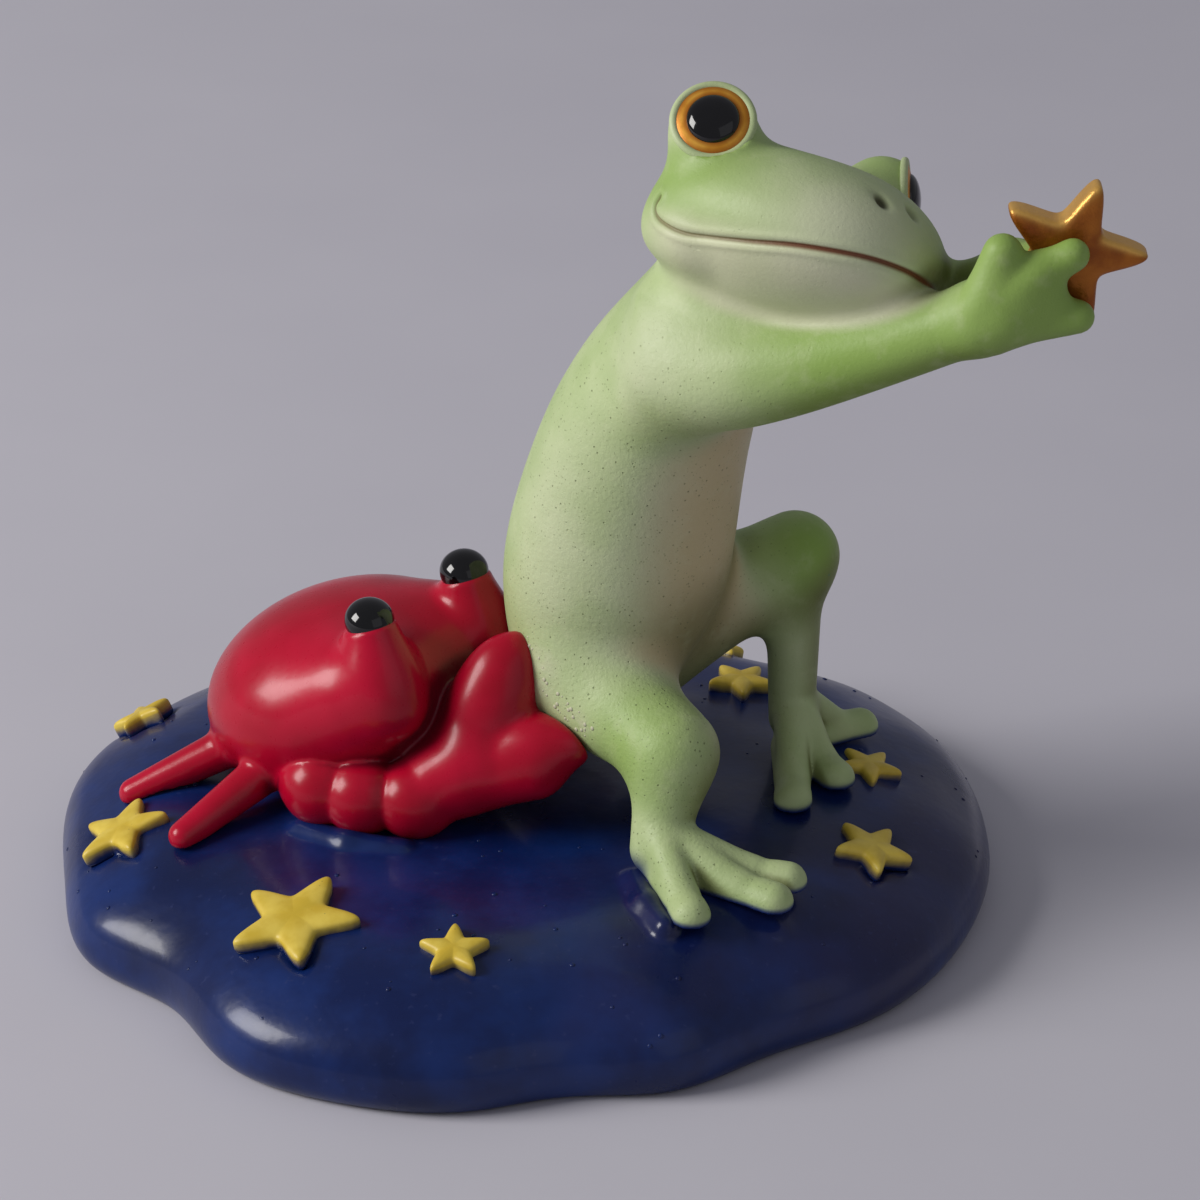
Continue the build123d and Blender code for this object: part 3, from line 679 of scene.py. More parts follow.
def crab_paint(wire):
    wash = wire.noise(110.0, 3.0)
    dust = wire.noise(1900.0, 2.0)
    colour = wire.mixed(wash.eased(0.3, 0.7), CRAB_DEEP, CRAB_BRIGHT)
    # Painted shade in the creases
    colour = wire.mixed(wire.attribute("fold_shade") * 0.8, colour, CRAB_FOLD_SHADE)
    return {
        "Base Color": colour,
        "Roughness": 0.24 + 0.1 * dust,
        "Normal": wire.bump(dust, 0.1, 0.00006),
        "Coat Weight": 0.09 + 0.12 * wash,
        "Coat Roughness": 0.15,
        "Specular IOR Level": 0.25,
    }


def glue_paint(wire):
    haze = wire.noise(1500.0, 2.0)
    return {
        "Base Color": wire.mixed(haze, GLUE_GREY, GLUE_PALE),
        "Roughness": 0.5 + 0.2 * haze,
    }


def steel_finish(wire):
    turned_marks = wire.noise(4000.0, 2.0)
    return {
        "Base Color": wire.mixed(turned_marks, STEEL_GREY, STEEL_PALE),
        "Metallic": 1.0,
        "Roughness": 0.3 + 0.15 * turned_marks,
    }


def floor_finish(wire):
    grain = wire.noise(30.0, 3.0)
    return {
        "Base Color": wire.mixed(grain, FLOOR_GREY, FLOOR_PALE),
        "Roughness": 0.75 + 0.1 * grain,
    }


FROG_SKIN = material("frog_skin_paint", frog_paint)
EYE_GOLD = material("gold_eye_paint", gold_eye_paint)
BEAD_BLACK = material("black_bead_paint", black_bead_paint)
BASE_BLUE = material("night_blue_lacquer", base_paint)
STAR_YELLOW = material("yellow_star_paint", star_paint)
STAR_GOLD = material("gold_star_paint", gold_star_paint)
CRAB_RED = material("crab_red_lacquer", crab_paint)
GLUE_WHITE = material("glue_crumb_white", glue_paint)
PIN_STEEL = material("pin_steel", steel_finish)
FLOOR = material("pale_floor", floor_finish)


def head_ways():
    """Forward, left and up of the head."""
    flat = math.cos(HEAD_TIP_UP)
    forward = np.array((math.cos(HEAD_TURN) * flat, -math.sin(HEAD_TURN) * flat, math.sin(HEAD_TIP_UP)))
    level = np.array((math.sin(HEAD_TURN), math.cos(HEAD_TURN), 0))
    up = np.cross(forward, level) * math.cos(HEAD_LEAN) + level * math.sin(HEAD_LEAN)
    return forward, np.cross(up, forward), up


HEAD_WAYS = head_ways()


def on_head(place):
    """A point given as forward, left and up of the head's middle."""
    return placed(HEAD_MIDDLE, HEAD_WAYS, place)


def eye_middle_and_aim(side):
    """The middle of one eye ball and the way it looks: -1 is the right eye, 1 the left."""
    ahead, out, up = EYE_PLACE
    forward, left, upward = HEAD_WAYS
    level = forward * math.sin(EYE_AIM) + left * side * math.cos(EYE_AIM)
    return on_head((ahead, side * out, up)), level * math.cos(EYE_TIP_UP) + upward * math.sin(EYE_TIP_UP)


def mouth_path():
    """The whole mouth line, from its right curl to its left one."""
    right = [on_head(place) for place in MOUTH_LINE]
    left = [on_head((f, -l, u)) for f, l, u in reversed(MOUTH_LINE)]
    return flowing(right + left, 6)


# The frog's legs: hip, knee and ankle, then each toe's tip, then the ankle's radius
LEGS = (
    (
        ((5.8, -1.6, 21.4), (12.0, -10.3, 19.4), (11.0, -13.4, 12.2)),
        ((13.4, -21.4), (20.0, -19.2), (21.2, -16.0)),
        2.4,
    ),
    (
        ((10.0, 7.0, 21.5), (22.4, 7.0, 28.6), (22.4, 7.0, 13.2)),
        ((22.2, -2.8), (25.9, 1.0), (28.3, 10.0)),
        1.95,
    ),
)
HIP_RADIUS, KNEE_RADIUS, CALF_SWELL = 5.6, 3.35, 0.5
THIGH_CREASE, CALF_CREASE = 0.5, 3.0
# The foot: the height of its sole, and heights above it
SOLE = 10.3
HEEL_HEIGHT, TIP_HEIGHT, RIDGE_HEIGHT = 0.85, 0.35, 0.45
KNEE_DROP, INSTEP_RISE = 0.3, 1.2
TOE_ROOT, TOE_TIP, TOE_CREASE = 1.75, 1.45, 0.5
RIDGE_ROOT, RIDGE_TIP, RIDGE_CREASE = 1.65, 1.25, 0.6
PAD_ROOT, PAD_TIP, PAD_CREASE = 1.5, 1.55, 0.4

# The near hand's heel, two fingers and thumb: start, end, radius at each, crease
HAND_RODS = (
    ((35.0, -18.0, 60.8), (37.6, -19.0, 63.2), 2.7, 2.0, 1.6),
    ((36.0, -19.2, 63.2), (38.6, -19.2, 65.0), 1.55, 1.3, 1.4),
    ((37.0, -19.2, 61.6), (39.8, -19.2, 63.0), 1.6, 1.35, 1.4),
    ((34.9, -19.0, 62.2), (36.1, -19.1, 66.5), 1.5, 1.25, 1.0),
)

# How widely the frog's castings flow into each other
NECK_CREASE, HIP_CREASE, LEGS_CREASE, ARMS_CREASE = 3.6, 3.0, 1.0, 0.8
ARM_CREASE, SHOULDER_CREASE = 2.2, 3.3
SHOULDERS = (14, -2, 51)
NEAR_SHOULDER = np.array((11.5, -6.5, 52.0))
SHOULDER_ROOM = 14
# Skin over the pins, and the height over which it covers the foot pins
PIN_COVER = 0.3
FOOT_PIN_LOW = 10.6
# Reaches of the finer skin along the mouth and round the nostrils
FACE_REACHES = (1.3, 1.0, 0.7)


def frog_head(clay):
    """The head: an egg with cheeks and eye balls that flow into it."""
    field = np.full(clay.shape, BAND, np.float32)
    where, places = clay.window(HEAD_MIDDLE - HEAD_ROOM, HEAD_MIDDLE + HEAD_ROOM)
    ahead = sum((place - m) * w for place, m, w in zip(places, HEAD_MIDDLE, HEAD_WAYS[0]))
    length = np.where(ahead > 0, HEAD_RADII[0], NAPE_RADIUS)
    field[where] = egg(places, HEAD_MIDDLE, HEAD_WAYS, (length, *HEAD_RADII[1:]))
    for side in (-1, 1):
        rear, front = (on_head((f, side * out, u)) for f, out, u in (CHEEK_REAR, CHEEK_FRONT))
        clay.add_rod(field, rear, front, CHEEK_REAR_RADIUS, CHEEK_FRONT_RADIUS, CHEEK_CREASE)
        middle, aim = eye_middle_and_aim(side)
        clay.add_rod(field, middle, middle + aim * 0.01, EYE_BALL, EYE_BALL, EYE_CREASE)
    return field


def frog_leg(clay, joints, toes, slim):
    """A leg: thigh, calf and a foot with a ridge to each toe."""
    hip, knee, ankle = (np.array(joint) for joint in joints)
    field = np.full(clay.shape, BAND, np.float32)
    clay.add_rod(field, hip, knee, HIP_RADIUS, KNEE_RADIUS, THIGH_CREASE)
    clay.add_rod(field, knee + (0, 0, -KNEE_DROP), ankle, slim + CALF_SWELL, slim, CALF_CREASE)
    heel = np.array((ankle[0], ankle[1], SOLE + HEEL_HEIGHT))
    instep = ankle + (0, 0, INSTEP_RISE)
    for x, y in toes:
        tip = np.array((x, y, SOLE + TIP_HEIGHT))
        way = (tip - heel) / np.linalg.norm(tip - heel)
        ridge_end = heel + (tip - heel) * 0.7 + (0, 0, RIDGE_HEIGHT)
        clay.add_rod(field, heel + way * 1.4, tip, TOE_ROOT, TOE_TIP, TOE_CREASE)
        clay.add_rod(field, instep + way * 0.9, ridge_end, RIDGE_ROOT, RIDGE_TIP, RIDGE_CREASE)
        clay.add_rod(field, tip - way * 0.6, tip + way * 0.1, PAD_ROOT, PAD_TIP, PAD_CREASE)
    return field


def frog_arms(clay):
    """Both arms, with the near hand closed to a mitten round the star's foot."""
    arms = melt(clay.casting("frog_right_arm"), clay.casting("frog_left_arm"), ARMS_CREASE)
    for part in HAND_RODS:
        clay.add_rod(arms, *part)
    return softened(arms, (1, 1))


def frog_skin():
    """The frog: its castings melted together, with its face, its paint, and painted shade in its folds."""
    low, high = room_of(FROG_CASTINGS)
    clay = Clay(low - CLAY_ROOM, high + CLAY_ROOM, FROG_STEP)
    x, y, z = clay.places()

    body = melt(clay.casting("frog_torso"), frog_head(clay), NECK_CREASE)
    legs = melt(frog_leg(clay, *LEGS[0]), frog_leg(clay, *LEGS[1]), LEGS_CREASE)
    body = melt(body, np.maximum(legs, SOLE - z), HIP_CREASE)
    shoulder = np.sqrt(sum((place - m) ** 2 for place, m in zip((x, y, z), SHOULDERS)))
    body = melt(body, frog_arms(clay), ARM_CREASE + SHOULDER_CREASE * ease(17.0, 6.0, shoulder))
    where, places = clay.window(NEAR_SHOULDER - SHOULDER_ROOM, NEAR_SHOULDER + SHOULDER_ROOM)
    near = rod(places, NEAR_SHOULDER, NEAR_SHOULDER + (0.1, 0, 0), 0, 0)
    near = ease(9.5, 4.0, near) * ease(58, 56, places[2])
    body[where] += (softened(body[where], (1, 2, 3, 4, 5)) - body[where]) * near
    body = np.minimum(body, clay.casting("neck_pin", "shoulder_pins", "hip_pins") - PIN_COVER)
    foot_cores = clay.casting("foot_pins") - PIN_COVER
    body = np.where(z > FOOT_PIN_LOW, np.minimum(body, foot_cores), body)
    for side in (-1, 1):
        middle, aim = eye_middle_and_aim(side)
        where, places = clay.window(middle - EYE_ROOM, middle + EYE_ROOM)
        ahead = sum((place - m) * a for place, m, a in zip(places, middle, aim)) - EYE_RING_DEPTH
        flat = rod(places, middle + aim * EYE_RING_DEPTH, middle + aim * 9, EYE_RING, EYE_RING)
        body[where] = np.maximum(body[where], -np.maximum(flat, -ahead - EYE_CUT))
        body[where] = np.maximum(body[where], -np.maximum(flat - EYE_CUT, -ahead))

    path = clay.settled(body, mouth_path())
    nostrils = np.array([on_head((NOSTRIL[0], -side * NOSTRIL[1], NOSTRIL[2])) for side in (-1, 1)])
    body = body.astype(np.float32)
    piece = clay.skinned("frog_skin", body, FROG_TRIANGLES, (np.vstack((path, nostrils)), FACE_REACHES))
    paint_frog(clay, body, piece.data, path, nostrils)
    return piece


# What is pressed into the frog's face: depths and widths
MOUTH_DEPTH, MOUTH_WIDTH = 0.26, 0.22
LIP_SWELL, LIP_GAP, LIP_WIDTH = 0.1, 0.6, 0.3
NOSTRIL_DEPTH, NOSTRIL_TIGHTNESS = 0.5, 1.6
NOSTRIL_RADII = (1.25, 0.75, 0.9)
FOREHEAD_DEPTH = 0.75

# Middles and radii of dips and spots of paint: on the head ahead, left and up of its middle
FOREHEAD = ((2.4, -0.3, 7.6), (4.5, 4.6, 4.0))
FACE = ((12.5, -3.0, 0.5), (6.0, 7.0, 3.6))
CHEEK = ((-1.0, -9.0, 1.5), (6.0, 5.0, 4.0))
# The same on the body; the shin spot is a painted highlight down the far shin
SHOULDER = ((9.3, -10.1, 53.9), (4.5, 4.5, 4.5))
FLANK = ((1.5, -6.0, 37.0), (8.5, 8.5, 19.0))
THIGH = ((10.0, -10.0, 19.5), (8.0, 8.0, 7.0))
KNEE = ((24, 4, 30), (5, 5, 6))
SHIN_HIGHLIGHT = ((23, 3.5, 20), (2.6, 3, 5))
HEEL = ((9.4, -14.6, 11.0), (2.2, 2.6, 2.2))
GLUE = (((1.6, -4.4, 23.6), (2.4, 3.0, 4.0)), ((4.6, -8.0, 20.6), (2.4, 2.4, 1.6)))
# The way the belly faces, the way the far leg's shaded side faces, where shade is painted on the legs, and
# how far folds are felt for the painted shade
BELLY_WAY = np.array((0.82, -0.57, 0.0))
SHADED_WAY = np.array((0.8, -0.1, -0.6))
FROG_SHADE_REACH = 3.0


def paint_frog(clay, body, mesh, path, nostrils):
    """Presses the face's features in and keeps where the sprayed and brushed paints, the painted shade and
    the painted shin highlight lie.
    """
    points = points_of(mesh)
    ways = clay.outward(body, points)
    to_head = np.array(HEAD_WAYS).T
    head = (points - HEAD_MIDDLE) @ to_head
    lips = line_gap(points, path)
    noses = [np.linalg.norm(((points - n) @ to_head) / np.array(NOSTRIL_RADII), axis=1) for n in nostrils]
    nose = np.min(noses, axis=0)
    press = MOUTH_DEPTH * np.exp(-((lips / MOUTH_WIDTH) ** 2))
    press = press - LIP_SWELL * np.exp(-(((lips - LIP_GAP) / LIP_WIDTH) ** 2))
    press = press + NOSTRIL_DEPTH * np.exp(-(nose**2) * NOSTRIL_TIGHTNESS)
    press = press + FOREHEAD_DEPTH * glow(head, *FOREHEAD)
    move_points(mesh, points - ways * press[:, None])

    x, y, z = points.T
    ahead, left, up = head.T
    lengths = np.where(head[:, :1] > 0, HEAD_RADII[0], NAPE_RADIUS)
    radii = np.hstack((lengths, np.broadcast_to(HEAD_RADII[1:], (len(head), 2))))
    on_face = ease(1.22, 1.06, np.linalg.norm(head / radii, axis=1))
    eyes = np.min([np.linalg.norm(points - eye_middle_and_aim(s)[0], axis=1) for s in (-1, 1)], axis=0)
    # Painted shade: creases, faces turned down, and the legs' sides turned right and down are darkened;
    # partly olive airbrushing
    fold_shade = ease(0.32, 0.85, clay.folds(body, points, ways, FROG_SHADE_REACH)) * ease(3.6, 5.0, eyes)
    underside_shade = ease(0.1, -0.9, ways[:, 2]) * (1 - on_face)
    limb = ease(17, 22, x) * ease(62, 58, z)
    leg_side_shade = ease(0.1, 0.9, ways @ SHADED_WAY) * ease(34, 28, z) * ease(11, 13, z)
    chin = ease(6, 2, np.abs(up + 7)) * ease(24, 20, np.linalg.norm(head, axis=1))
    front = ways @ BELLY_WAY
    belly = ease(0.2, 1.0, front) * ease(55, 46, z) * ease(17, 25, z) * ease(23, 17, x) * ease(-13, -9, y)
    throat = ease(-0.6, -3.4, up) * on_face * ease(-5, 2, ahead)
    sprayed = 0.8 * belly + 0.85 * glow(head, *FACE) + 0.75 * throat + 0.4 * glow(points, *SHOULDER)
    arm = ease(14, 24, x) * ease(67, 60, z) * ease(43, 47, z) * (1 - on_face)
    arm = np.maximum(arm, ease(29, 34, x))
    crown = ease(0.3, 1.0, ways[:, 2]) * ease(63, 67, z) * ease(10, 0, ahead)
    green = 0.85 * arm + 0.95 * glow(points, *KNEE) + 0.5 * crown + 0.85 * spot(points, *THIGH)
    snout = ease(3, 13, ahead)
    marks = {
        "fold_shade": fold_shade * (0.75 - 0.45 * chin) + underside_shade * (0.2 + 0.3 * limb) + 0.75 * leg_side_shade,
        # Pale spray, with a painted highlight down the far shin
        "cream_and_highlight": sprayed + 0.25 * glow(points, *SHIN_HIGHLIGHT) + 0.5 * spot(points, *FLANK),
        "blush": 0.7 * belly * ease(0.45, 1.0, front) + 0.1 * throat,
        "leaf": green + 0.75 * (glow(head, *CHEEK) * on_face),
        "ahead": snout,
        "mouth": ease(0.24 + 0.12 * snout, 0.08, lips) * (0.75 + 0.25 * snout),
        "pitted": 0.12 + 0.88 * ease(60, 48, z) * ease(24, 15, x),
        "nostril": ease(1.15, 0.35, nose) * (1 - 0.5 * ease(-0.5, 0.5, left)),
        "glue": 0.45 * sum(spot(points, *smear) for smear in GLUE),
        "dip": ease(11.0, 10.5, z) + 0.9 * spot(points, *HEEL),
    }
    for name, values in marks.items():
        mark(mesh, name, values)


skin = frog_skin()
finished(skin, FROG_SKIN, "frog_skin", *FROG_CASTINGS)

# The eye's pieces, about the way it looks: middles and half axes of arcs, and outlines, as radius and height
LID_MIDDLE, LID_RADII = (3.04, -0.2), (0.33, 0.32)
LID_MARKS = {"cream_and_highlight": 0.22}
LID_BARE = ("fold_shade", "blush", "leaf", "mouth", "ahead", "pitted", "nostril", "glue", "dip")
GOLD_OUTLINE = (
    (0.0, -0.4), (2.84, -0.4), (2.9, -0.2), (2.86, -0.02), (2.74, 0.06),
    (2.4, 0.16), (2.1, 0.24), (1.8, 0.28), (0.0, 0.3),
)
BEAD_FOOT = ((0.0, -0.3), (2.0, -0.3))
BEAD_MIDDLE, BEAD_RADII = (0.0, 0.12), (2.06, 0.9)


def frog_eye(side, word):
    """One eye: a green lid ring, a gold ring and a black bead."""
    middle, aim = eye_middle_and_aim(side)
    facing = Vector(aim).to_track_quat("Z", "Y").to_matrix().to_4x4()
    seat = Matrix.Translation(Vector(middle + aim * EYE_RING_DEPTH)) @ facing
    lid = turned(f"frog_{word}_eyelid", arc(LID_MIDDLE, LID_RADII, 0, 2 * math.pi, 16), seat)
    for name, value in (LID_MARKS | dict.fromkeys(LID_BARE, 0.0)).items():
        mark(lid.data, name, np.full(len(lid.data.vertices), value))
    finished(lid, FROG_SKIN, "frog_skin")

    gold = turned(f"frog_{word}_gold_ring", GOLD_OUTLINE, seat)
    reach = np.linalg.norm(np.cross(points_of(gold.data) - middle, aim), axis=1)
    mark(gold.data, "edge", ease(2.5, 2.85, reach) + ease(2.25, 2.05, reach))
    finished(gold, EYE_GOLD, "eye_gold", f"frog_{word}_iris")

    dome = [*BEAD_FOOT, *arc(BEAD_MIDDLE, BEAD_RADII, 0, math.pi / 2, 12)]
    finished(turned(f"frog_{word}_black_bead", dome, seat), BEAD_BLACK, "bead_black", f"frog_{word}_pupil")


frog_eye(-1, "right")
frog_eye(1, "left")


# The middle of the crab's shell, and its ways forward, to its left and up
CRAB_MIDDLE = np.array((-14.6, 6.0, 17.0))
CRAB_WAYS = (np.array((0.72, -0.604, 0.342)), np.array((0.643, 0.766, 0.0)), np.array((-0.262, 0.22, 0.94)))

# Bulges under the crab's eyes: ahead, to the side and up of the shell's middle, and half axes
SHELL_CORNER, SHELL_CORNER_RADII, SHELL_CORNER_CREASE = (8.6, 6.1, 1.7), (3.8, 3.3, 3.6), 4.4
# Eye stalk tops: how far under the eye's middle they start, their length, radii and crease
STALK_SINK, STALK_LENGTH, STALK_TOP, STALK_FOOT, STALK_CREASE = 0.9, 1.1, 1.9, 1.95, 0.4
# The right arm's swollen segments
CLAW_BEADS = ((-16.8, -4.4, 13.0), (-13.4, -5.6, 12.8), (-9.1, -6.3, 12.8))
CLAW_BEAD_RADIUS, CLAW_BEAD_CREASE = 3.35, 0.25
# The right pincer: its palm as a rod, and its upper finger as an egg along one way
PALM = ((-4.2, -5.6, 14.8), (0.8, -6.6, 15.8), 3.2, 2.6, 1.4)
FINGER_MIDDLE, FINGER_WAY = np.array((-3.1, -4.0, 19.8)), (3.4, 2.2, 9.4)
FINGER_RADII, FINGER_CREASE = (6.6, 3.4, 2.7), 1.2
# How widely stalks, claws and legs flow into the shell, the cover of its pins, and how far folds are felt for
# the painted shade
STALK_FLOW, CLAW_FLOW, LEG_FLOW = 1.2, 0.8, 0.9
CRAB_PIN_COVER, CRAB_PIN_LOW = 0.25, 10.4
CRAB_SHADE_REACH = 2.6
# Crab eye beads: height by width, and how they tip
CRAB_EYE_FLATNESS, CRAB_EYE_TIP = 0.84, math.radians(16)


def unit(way):
    """A way of length 1."""
    return np.array(way) / np.linalg.norm(way)


def crab_body():
    """The crab: shell, claws, legs and eye stalks in one casting."""
    apart = ("crab_right_eye", "crab_left_eye", "crab_mount_pins")
    names = [n for n in NODES if n.startswith("crab_") and n not in apart]
    low, high = room_of(names)
    clay = Clay(low - CLAY_ROOM, high + CLAY_ROOM, CRAB_STEP)
    pins = clay.casting("crab_mount_pins", "claw_pins") - CRAB_PIN_COVER
    shell = np.minimum(clay.casting("crab_shell"), np.maximum(pins, CRAB_PIN_LOW - clay.places()[2]))
    claws = softened(np.minimum(clay.casting("crab_right_claw", "crab_left_claw"), pins), (1, 2))
    stalks = melt(shell, clay.casting("crab_right_eye_stalk", "crab_left_eye_stalk"), STALK_FLOW)
    legs = clay.casting(*[n for n in names if n.endswith("_leg")])
    body = melt(melt(stalks, claws, CLAW_FLOW), legs, LEG_FLOW)
    ahead, out, up = SHELL_CORNER
    for side in (-1, 1):
        corner = placed(CRAB_MIDDLE, CRAB_WAYS, (ahead, side * out, up))
        clay.add_egg(body, corner, CRAB_WAYS, SHELL_CORNER_RADII, SHELL_CORNER_CREASE)
    for word in ("right", "left"):
        top = np.sum(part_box(f"crab_{word}_eye"), axis=0) / 2 / MM - CRAB_WAYS[2] * STALK_SINK
        clay.add_rod(body, top, top - CRAB_WAYS[2] * STALK_LENGTH, STALK_TOP, STALK_FOOT, STALK_CREASE)
    for bead in CLAW_BEADS:
        end = np.array(bead) + (0.3, 0, 0)
        clay.add_rod(body, bead, end, CLAW_BEAD_RADIUS, CLAW_BEAD_RADIUS, CLAW_BEAD_CREASE)
    clay.add_rod(body, *PALM)
    along = unit(FINGER_WAY)
    broad = unit(np.cross(np.cross(along, (1, 0, 0)), along))
    clay.add_egg(body, FINGER_MIDDLE, (along, broad, np.cross(along, broad)), FINGER_RADII, FINGER_CREASE)
    piece = clay.skinned("crab_body", body, CRAB_TRIANGLES)
    points = points_of(piece.data)
    ways = clay.outward(body, points)
    # Painted shade: creases and joins darkened by how closely the form closes round them
    mark(piece.data, "fold_shade", ease(0.3, 0.8, clay.folds(body, points, ways, CRAB_SHADE_REACH)))
    finished(piece, CRAB_RED, "crab_red", *names)


crab_body()


def crab_eye(word):
    """One black eye bead, a little flatter than a ball."""
    low, high = (np.array(corner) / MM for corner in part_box(f"crab_{word}_eye"))
    middle, radius = (low + high) / 2, (high - low)[0] / 2
    outline = arc((0.0, 0.0), (radius, radius * CRAB_EYE_FLATNESS), -math.pi / 2, math.pi / 2, 24)
    seat = Matrix.Translation(Vector(middle)) @ Matrix.Rotation(CRAB_EYE_TIP, 4, "X")
    finished(turned(f"crab_{word}_eye_bead", outline, seat, 56), BEAD_BLACK, "bead_black", f"crab_{word}_eye")


crab_eye("right")
crab_eye("left")


def new_tree(name, inputs, output):
    """A geometry tree with inputs of given kinds and one output, and a wire from each input."""
    tree = bpy.data.node_groups.new(name, "GeometryNodeTree")
    for label, kind in inputs.items():
        tree.interface.new_socket(name=label, in_out="INPUT", socket_type=f"NodeSocket{kind}")
    tree.interface.new_socket(name=output, in_out="OUTPUT", socket_type="NodeSocketGeometry")
    start = tree.nodes.new("NodeGroupInput")
    return tree, {socket.name: Wire(tree, socket) for socket in start.outputs if socket.name}


def ended(tree, shape, finish):
    """A tree closed by its shape, made real, shaded smooth and given its material."""
    for kind in ("GeometryNodeRealizeInstances", "GeometryNodeSetShadeSmooth"):
        shape = shape.node(kind, {"Geometry": shape})
    shape = shape.node("GeometryNodeSetMaterial", {"Geometry": shape, "Material": finish})
    tree.links.new(shape.socket, tree.nodes.new("NodeGroupOutput").inputs[0])
    return tree


STAR_SIZES = ("Reach", "Notch Share", "Thickness", "Squareness", "Tip Roundness", "Notch Roundness", "Ridge")
STAR_POINTS = 5
STAR_COLUMNS, STAR_ROWS, STAR_WELD = 241, 33, 0.0005


def star_tree():
    """A node tree that makes a soft five-pointed star from its named sizes."""
    tree, ask = new_tree("soft_star", dict.fromkeys(STAR_SIZES, "Float") | {"Finish": "Material"}, "Star")
    wire = Wire(tree)
    grid = {"Size X": 1.0, "Size Y": 1.0, "Vertices X": STAR_COLUMNS, "Vertices Y": STAR_ROWS}
    grid = wire.node("GeometryNodeMeshGrid", grid)
    spread = wire.node("GeometryNodeInputPosition")
    across = wire.node("ShaderNodeSeparateXYZ", {0: spread}, "X") + 0.5
    over = wire.node("ShaderNodeSeparateXYZ", {0: spread}, "Y")
    sector = 2 * math.pi / STAR_POINTS
    turn = across * (2 * math.pi)
    swing = across * STAR_POINTS + 0.5
    from_tip = (swing - swing.math("FLOOR", swing) - 0.5) * sector
    to_notch = sector / 2 - from_tip.math("ABSOLUTE", from_tip)
    past_tip = sector / 2 - from_tip.math("SQRT", from_tip * from_tip + ask["Tip Roundness"] ** 2)
    notch_angle = past_tip.math("SQRT", past_tip * past_tip + ask["Notch Roundness"] ** 2)
    tip_angle = sector / 2 - notch_angle
    notch = ask["Reach"] * ask["Notch Share"]
    below = ask["Reach"] * tip_angle.math("SINE", tip_angle) + notch * notch_angle.math("SINE", notch_angle)
    edge = ask["Reach"] * notch * math.sin(sector / 2) / below
    slope = over * math.pi
    rim = slope.math("COSINE", slope)
    rim = rim.math("MAXIMUM", rim, 0.0) ** ask["Squareness"]
    rise = slope.math("SINE", slope)
    height = rise.math("ABSOLUTE", rise) ** ask["Squareness"] * rise.math("SIGN", rise)
    valley = 1 - ask["Ridge"] * rim * (1 - to_notch * (2 / sector))
    reach = edge * rim
    spot_on = wire.node("ShaderNodeCombineXYZ", {
        0: reach * turn.math("COSINE", turn),
        1: reach * turn.math("SINE", turn),
        2: height * valley * ask["Thickness"] * 0.5,
    })
    star = {"Geometry": grid, "Name": "crown", "Value": over + 0.5}
    star = wire.node("GeometryNodeStoreNamedAttribute", star, data_type="FLOAT", domain="POINT")
    star = wire.node("GeometryNodeSetPosition", {"Geometry": star, "Position": spot_on})
    star = wire.node("GeometryNodeMergeByDistance", {"Geometry": star, "Distance": STAR_WELD})
    return ended(tree, star, ask["Finish"])


SOFT_STAR = star_tree()


def made_by(tree, name, sizes, mesh=None):
    """The plain mesh that a node tree makes with the sizes it is given."""
    piece = piece_from(name, mesh or bpy.data.meshes.new(name))
    worker = piece.modifiers.new("maker", "NODES")
    worker.node_group = tree
    for socket in tree.interface.items_tree:
        if socket.in_out == "INPUT" and socket.name in sizes:
            worker[socket.identifier] = sizes[socket.name]
    piece.data = plain_mesh(piece)
    return piece


def star_seat(node):
    """Where a CAD star lies: its middle, upright, the way of one point, reach, and low and high ends."""
    points = points_of(NODES[node].data)
    middle = (points.min(0) + points.max(0)) / 2
    axes = np.linalg.eigh(np.cov((points - middle).T))[1]
    upright = axes[:, 0] * (1 if axes[2, 0] > 0 else -1)
    high = (points @ upright).max()
    low = (points @ upright).min()
    rim = points - np.outer(points @ upright, upright)
    centre = rim.mean(0)
    gap = np.linalg.norm(rim - centre, axis=1)
    point = (rim - centre)[np.argmax(gap)] / gap.max()
    return centre, upright, point, gap.max(), low, high


def set_star(piece, centre, upright, point, height):
    """Puts a star's mesh on its seat."""
    side = np.cross(upright, point)
    place = Matrix.Identity(4)
    for row in range(3):
        place[row][0], place[row][1], place[row][2] = point[row], side[row], upright[row]
        place[row][3] = (centre + upright * height)[row]
    piece.data.transform(Matrix.Scale(MM, 4) @ place)
    fixed = bmesh.new()
    fixed.from_mesh(piece.data)
    bmesh.ops.recalc_face_normals(fixed, faces=fixed.faces)
    fixed.to_mesh(piece.data)
    fixed.free()


def star_sizes(reach, notch, tip_softness, notch_softness):
    """The tree's sizes for a star whose rounded points and notches lie at given distances."""
    half = math.pi / STAR_POINTS
    point_angle = math.hypot(half - tip_softness, notch_softness)
    dent_angle = math.hypot(half - math.hypot(half, tip_softness), notch_softness)
    at_point = (math.sin(half - point_angle), math.sin(point_angle))
    at_dent = (math.sin(half - dent_angle), math.sin(dent_angle))
    share = (notch * at_dent[0] - at_point[0]) / (at_point[1] - notch * at_dent[1])
    return {
        "Reach": reach * (at_point[0] + at_point[1] * share) / (math.sin(half) * share),
        "Notch Share": share,
        "Tip Roundness": tip_softness,
        "Notch Roundness": notch_softness,
    }


BASE_STARS = [f"base_star_{number}" for number in range(1, 9)]
# Notches as a share of the reach, how softly points and notches are rounded, and the reach by the CAD's
YELLOW_ROUNDING, YELLOW_REACH = (0.52, 0.12, 0.12), 1.02
GOLD_ROUNDING, GOLD_REACH = (0.5, 0.12, 0.2), 0.985

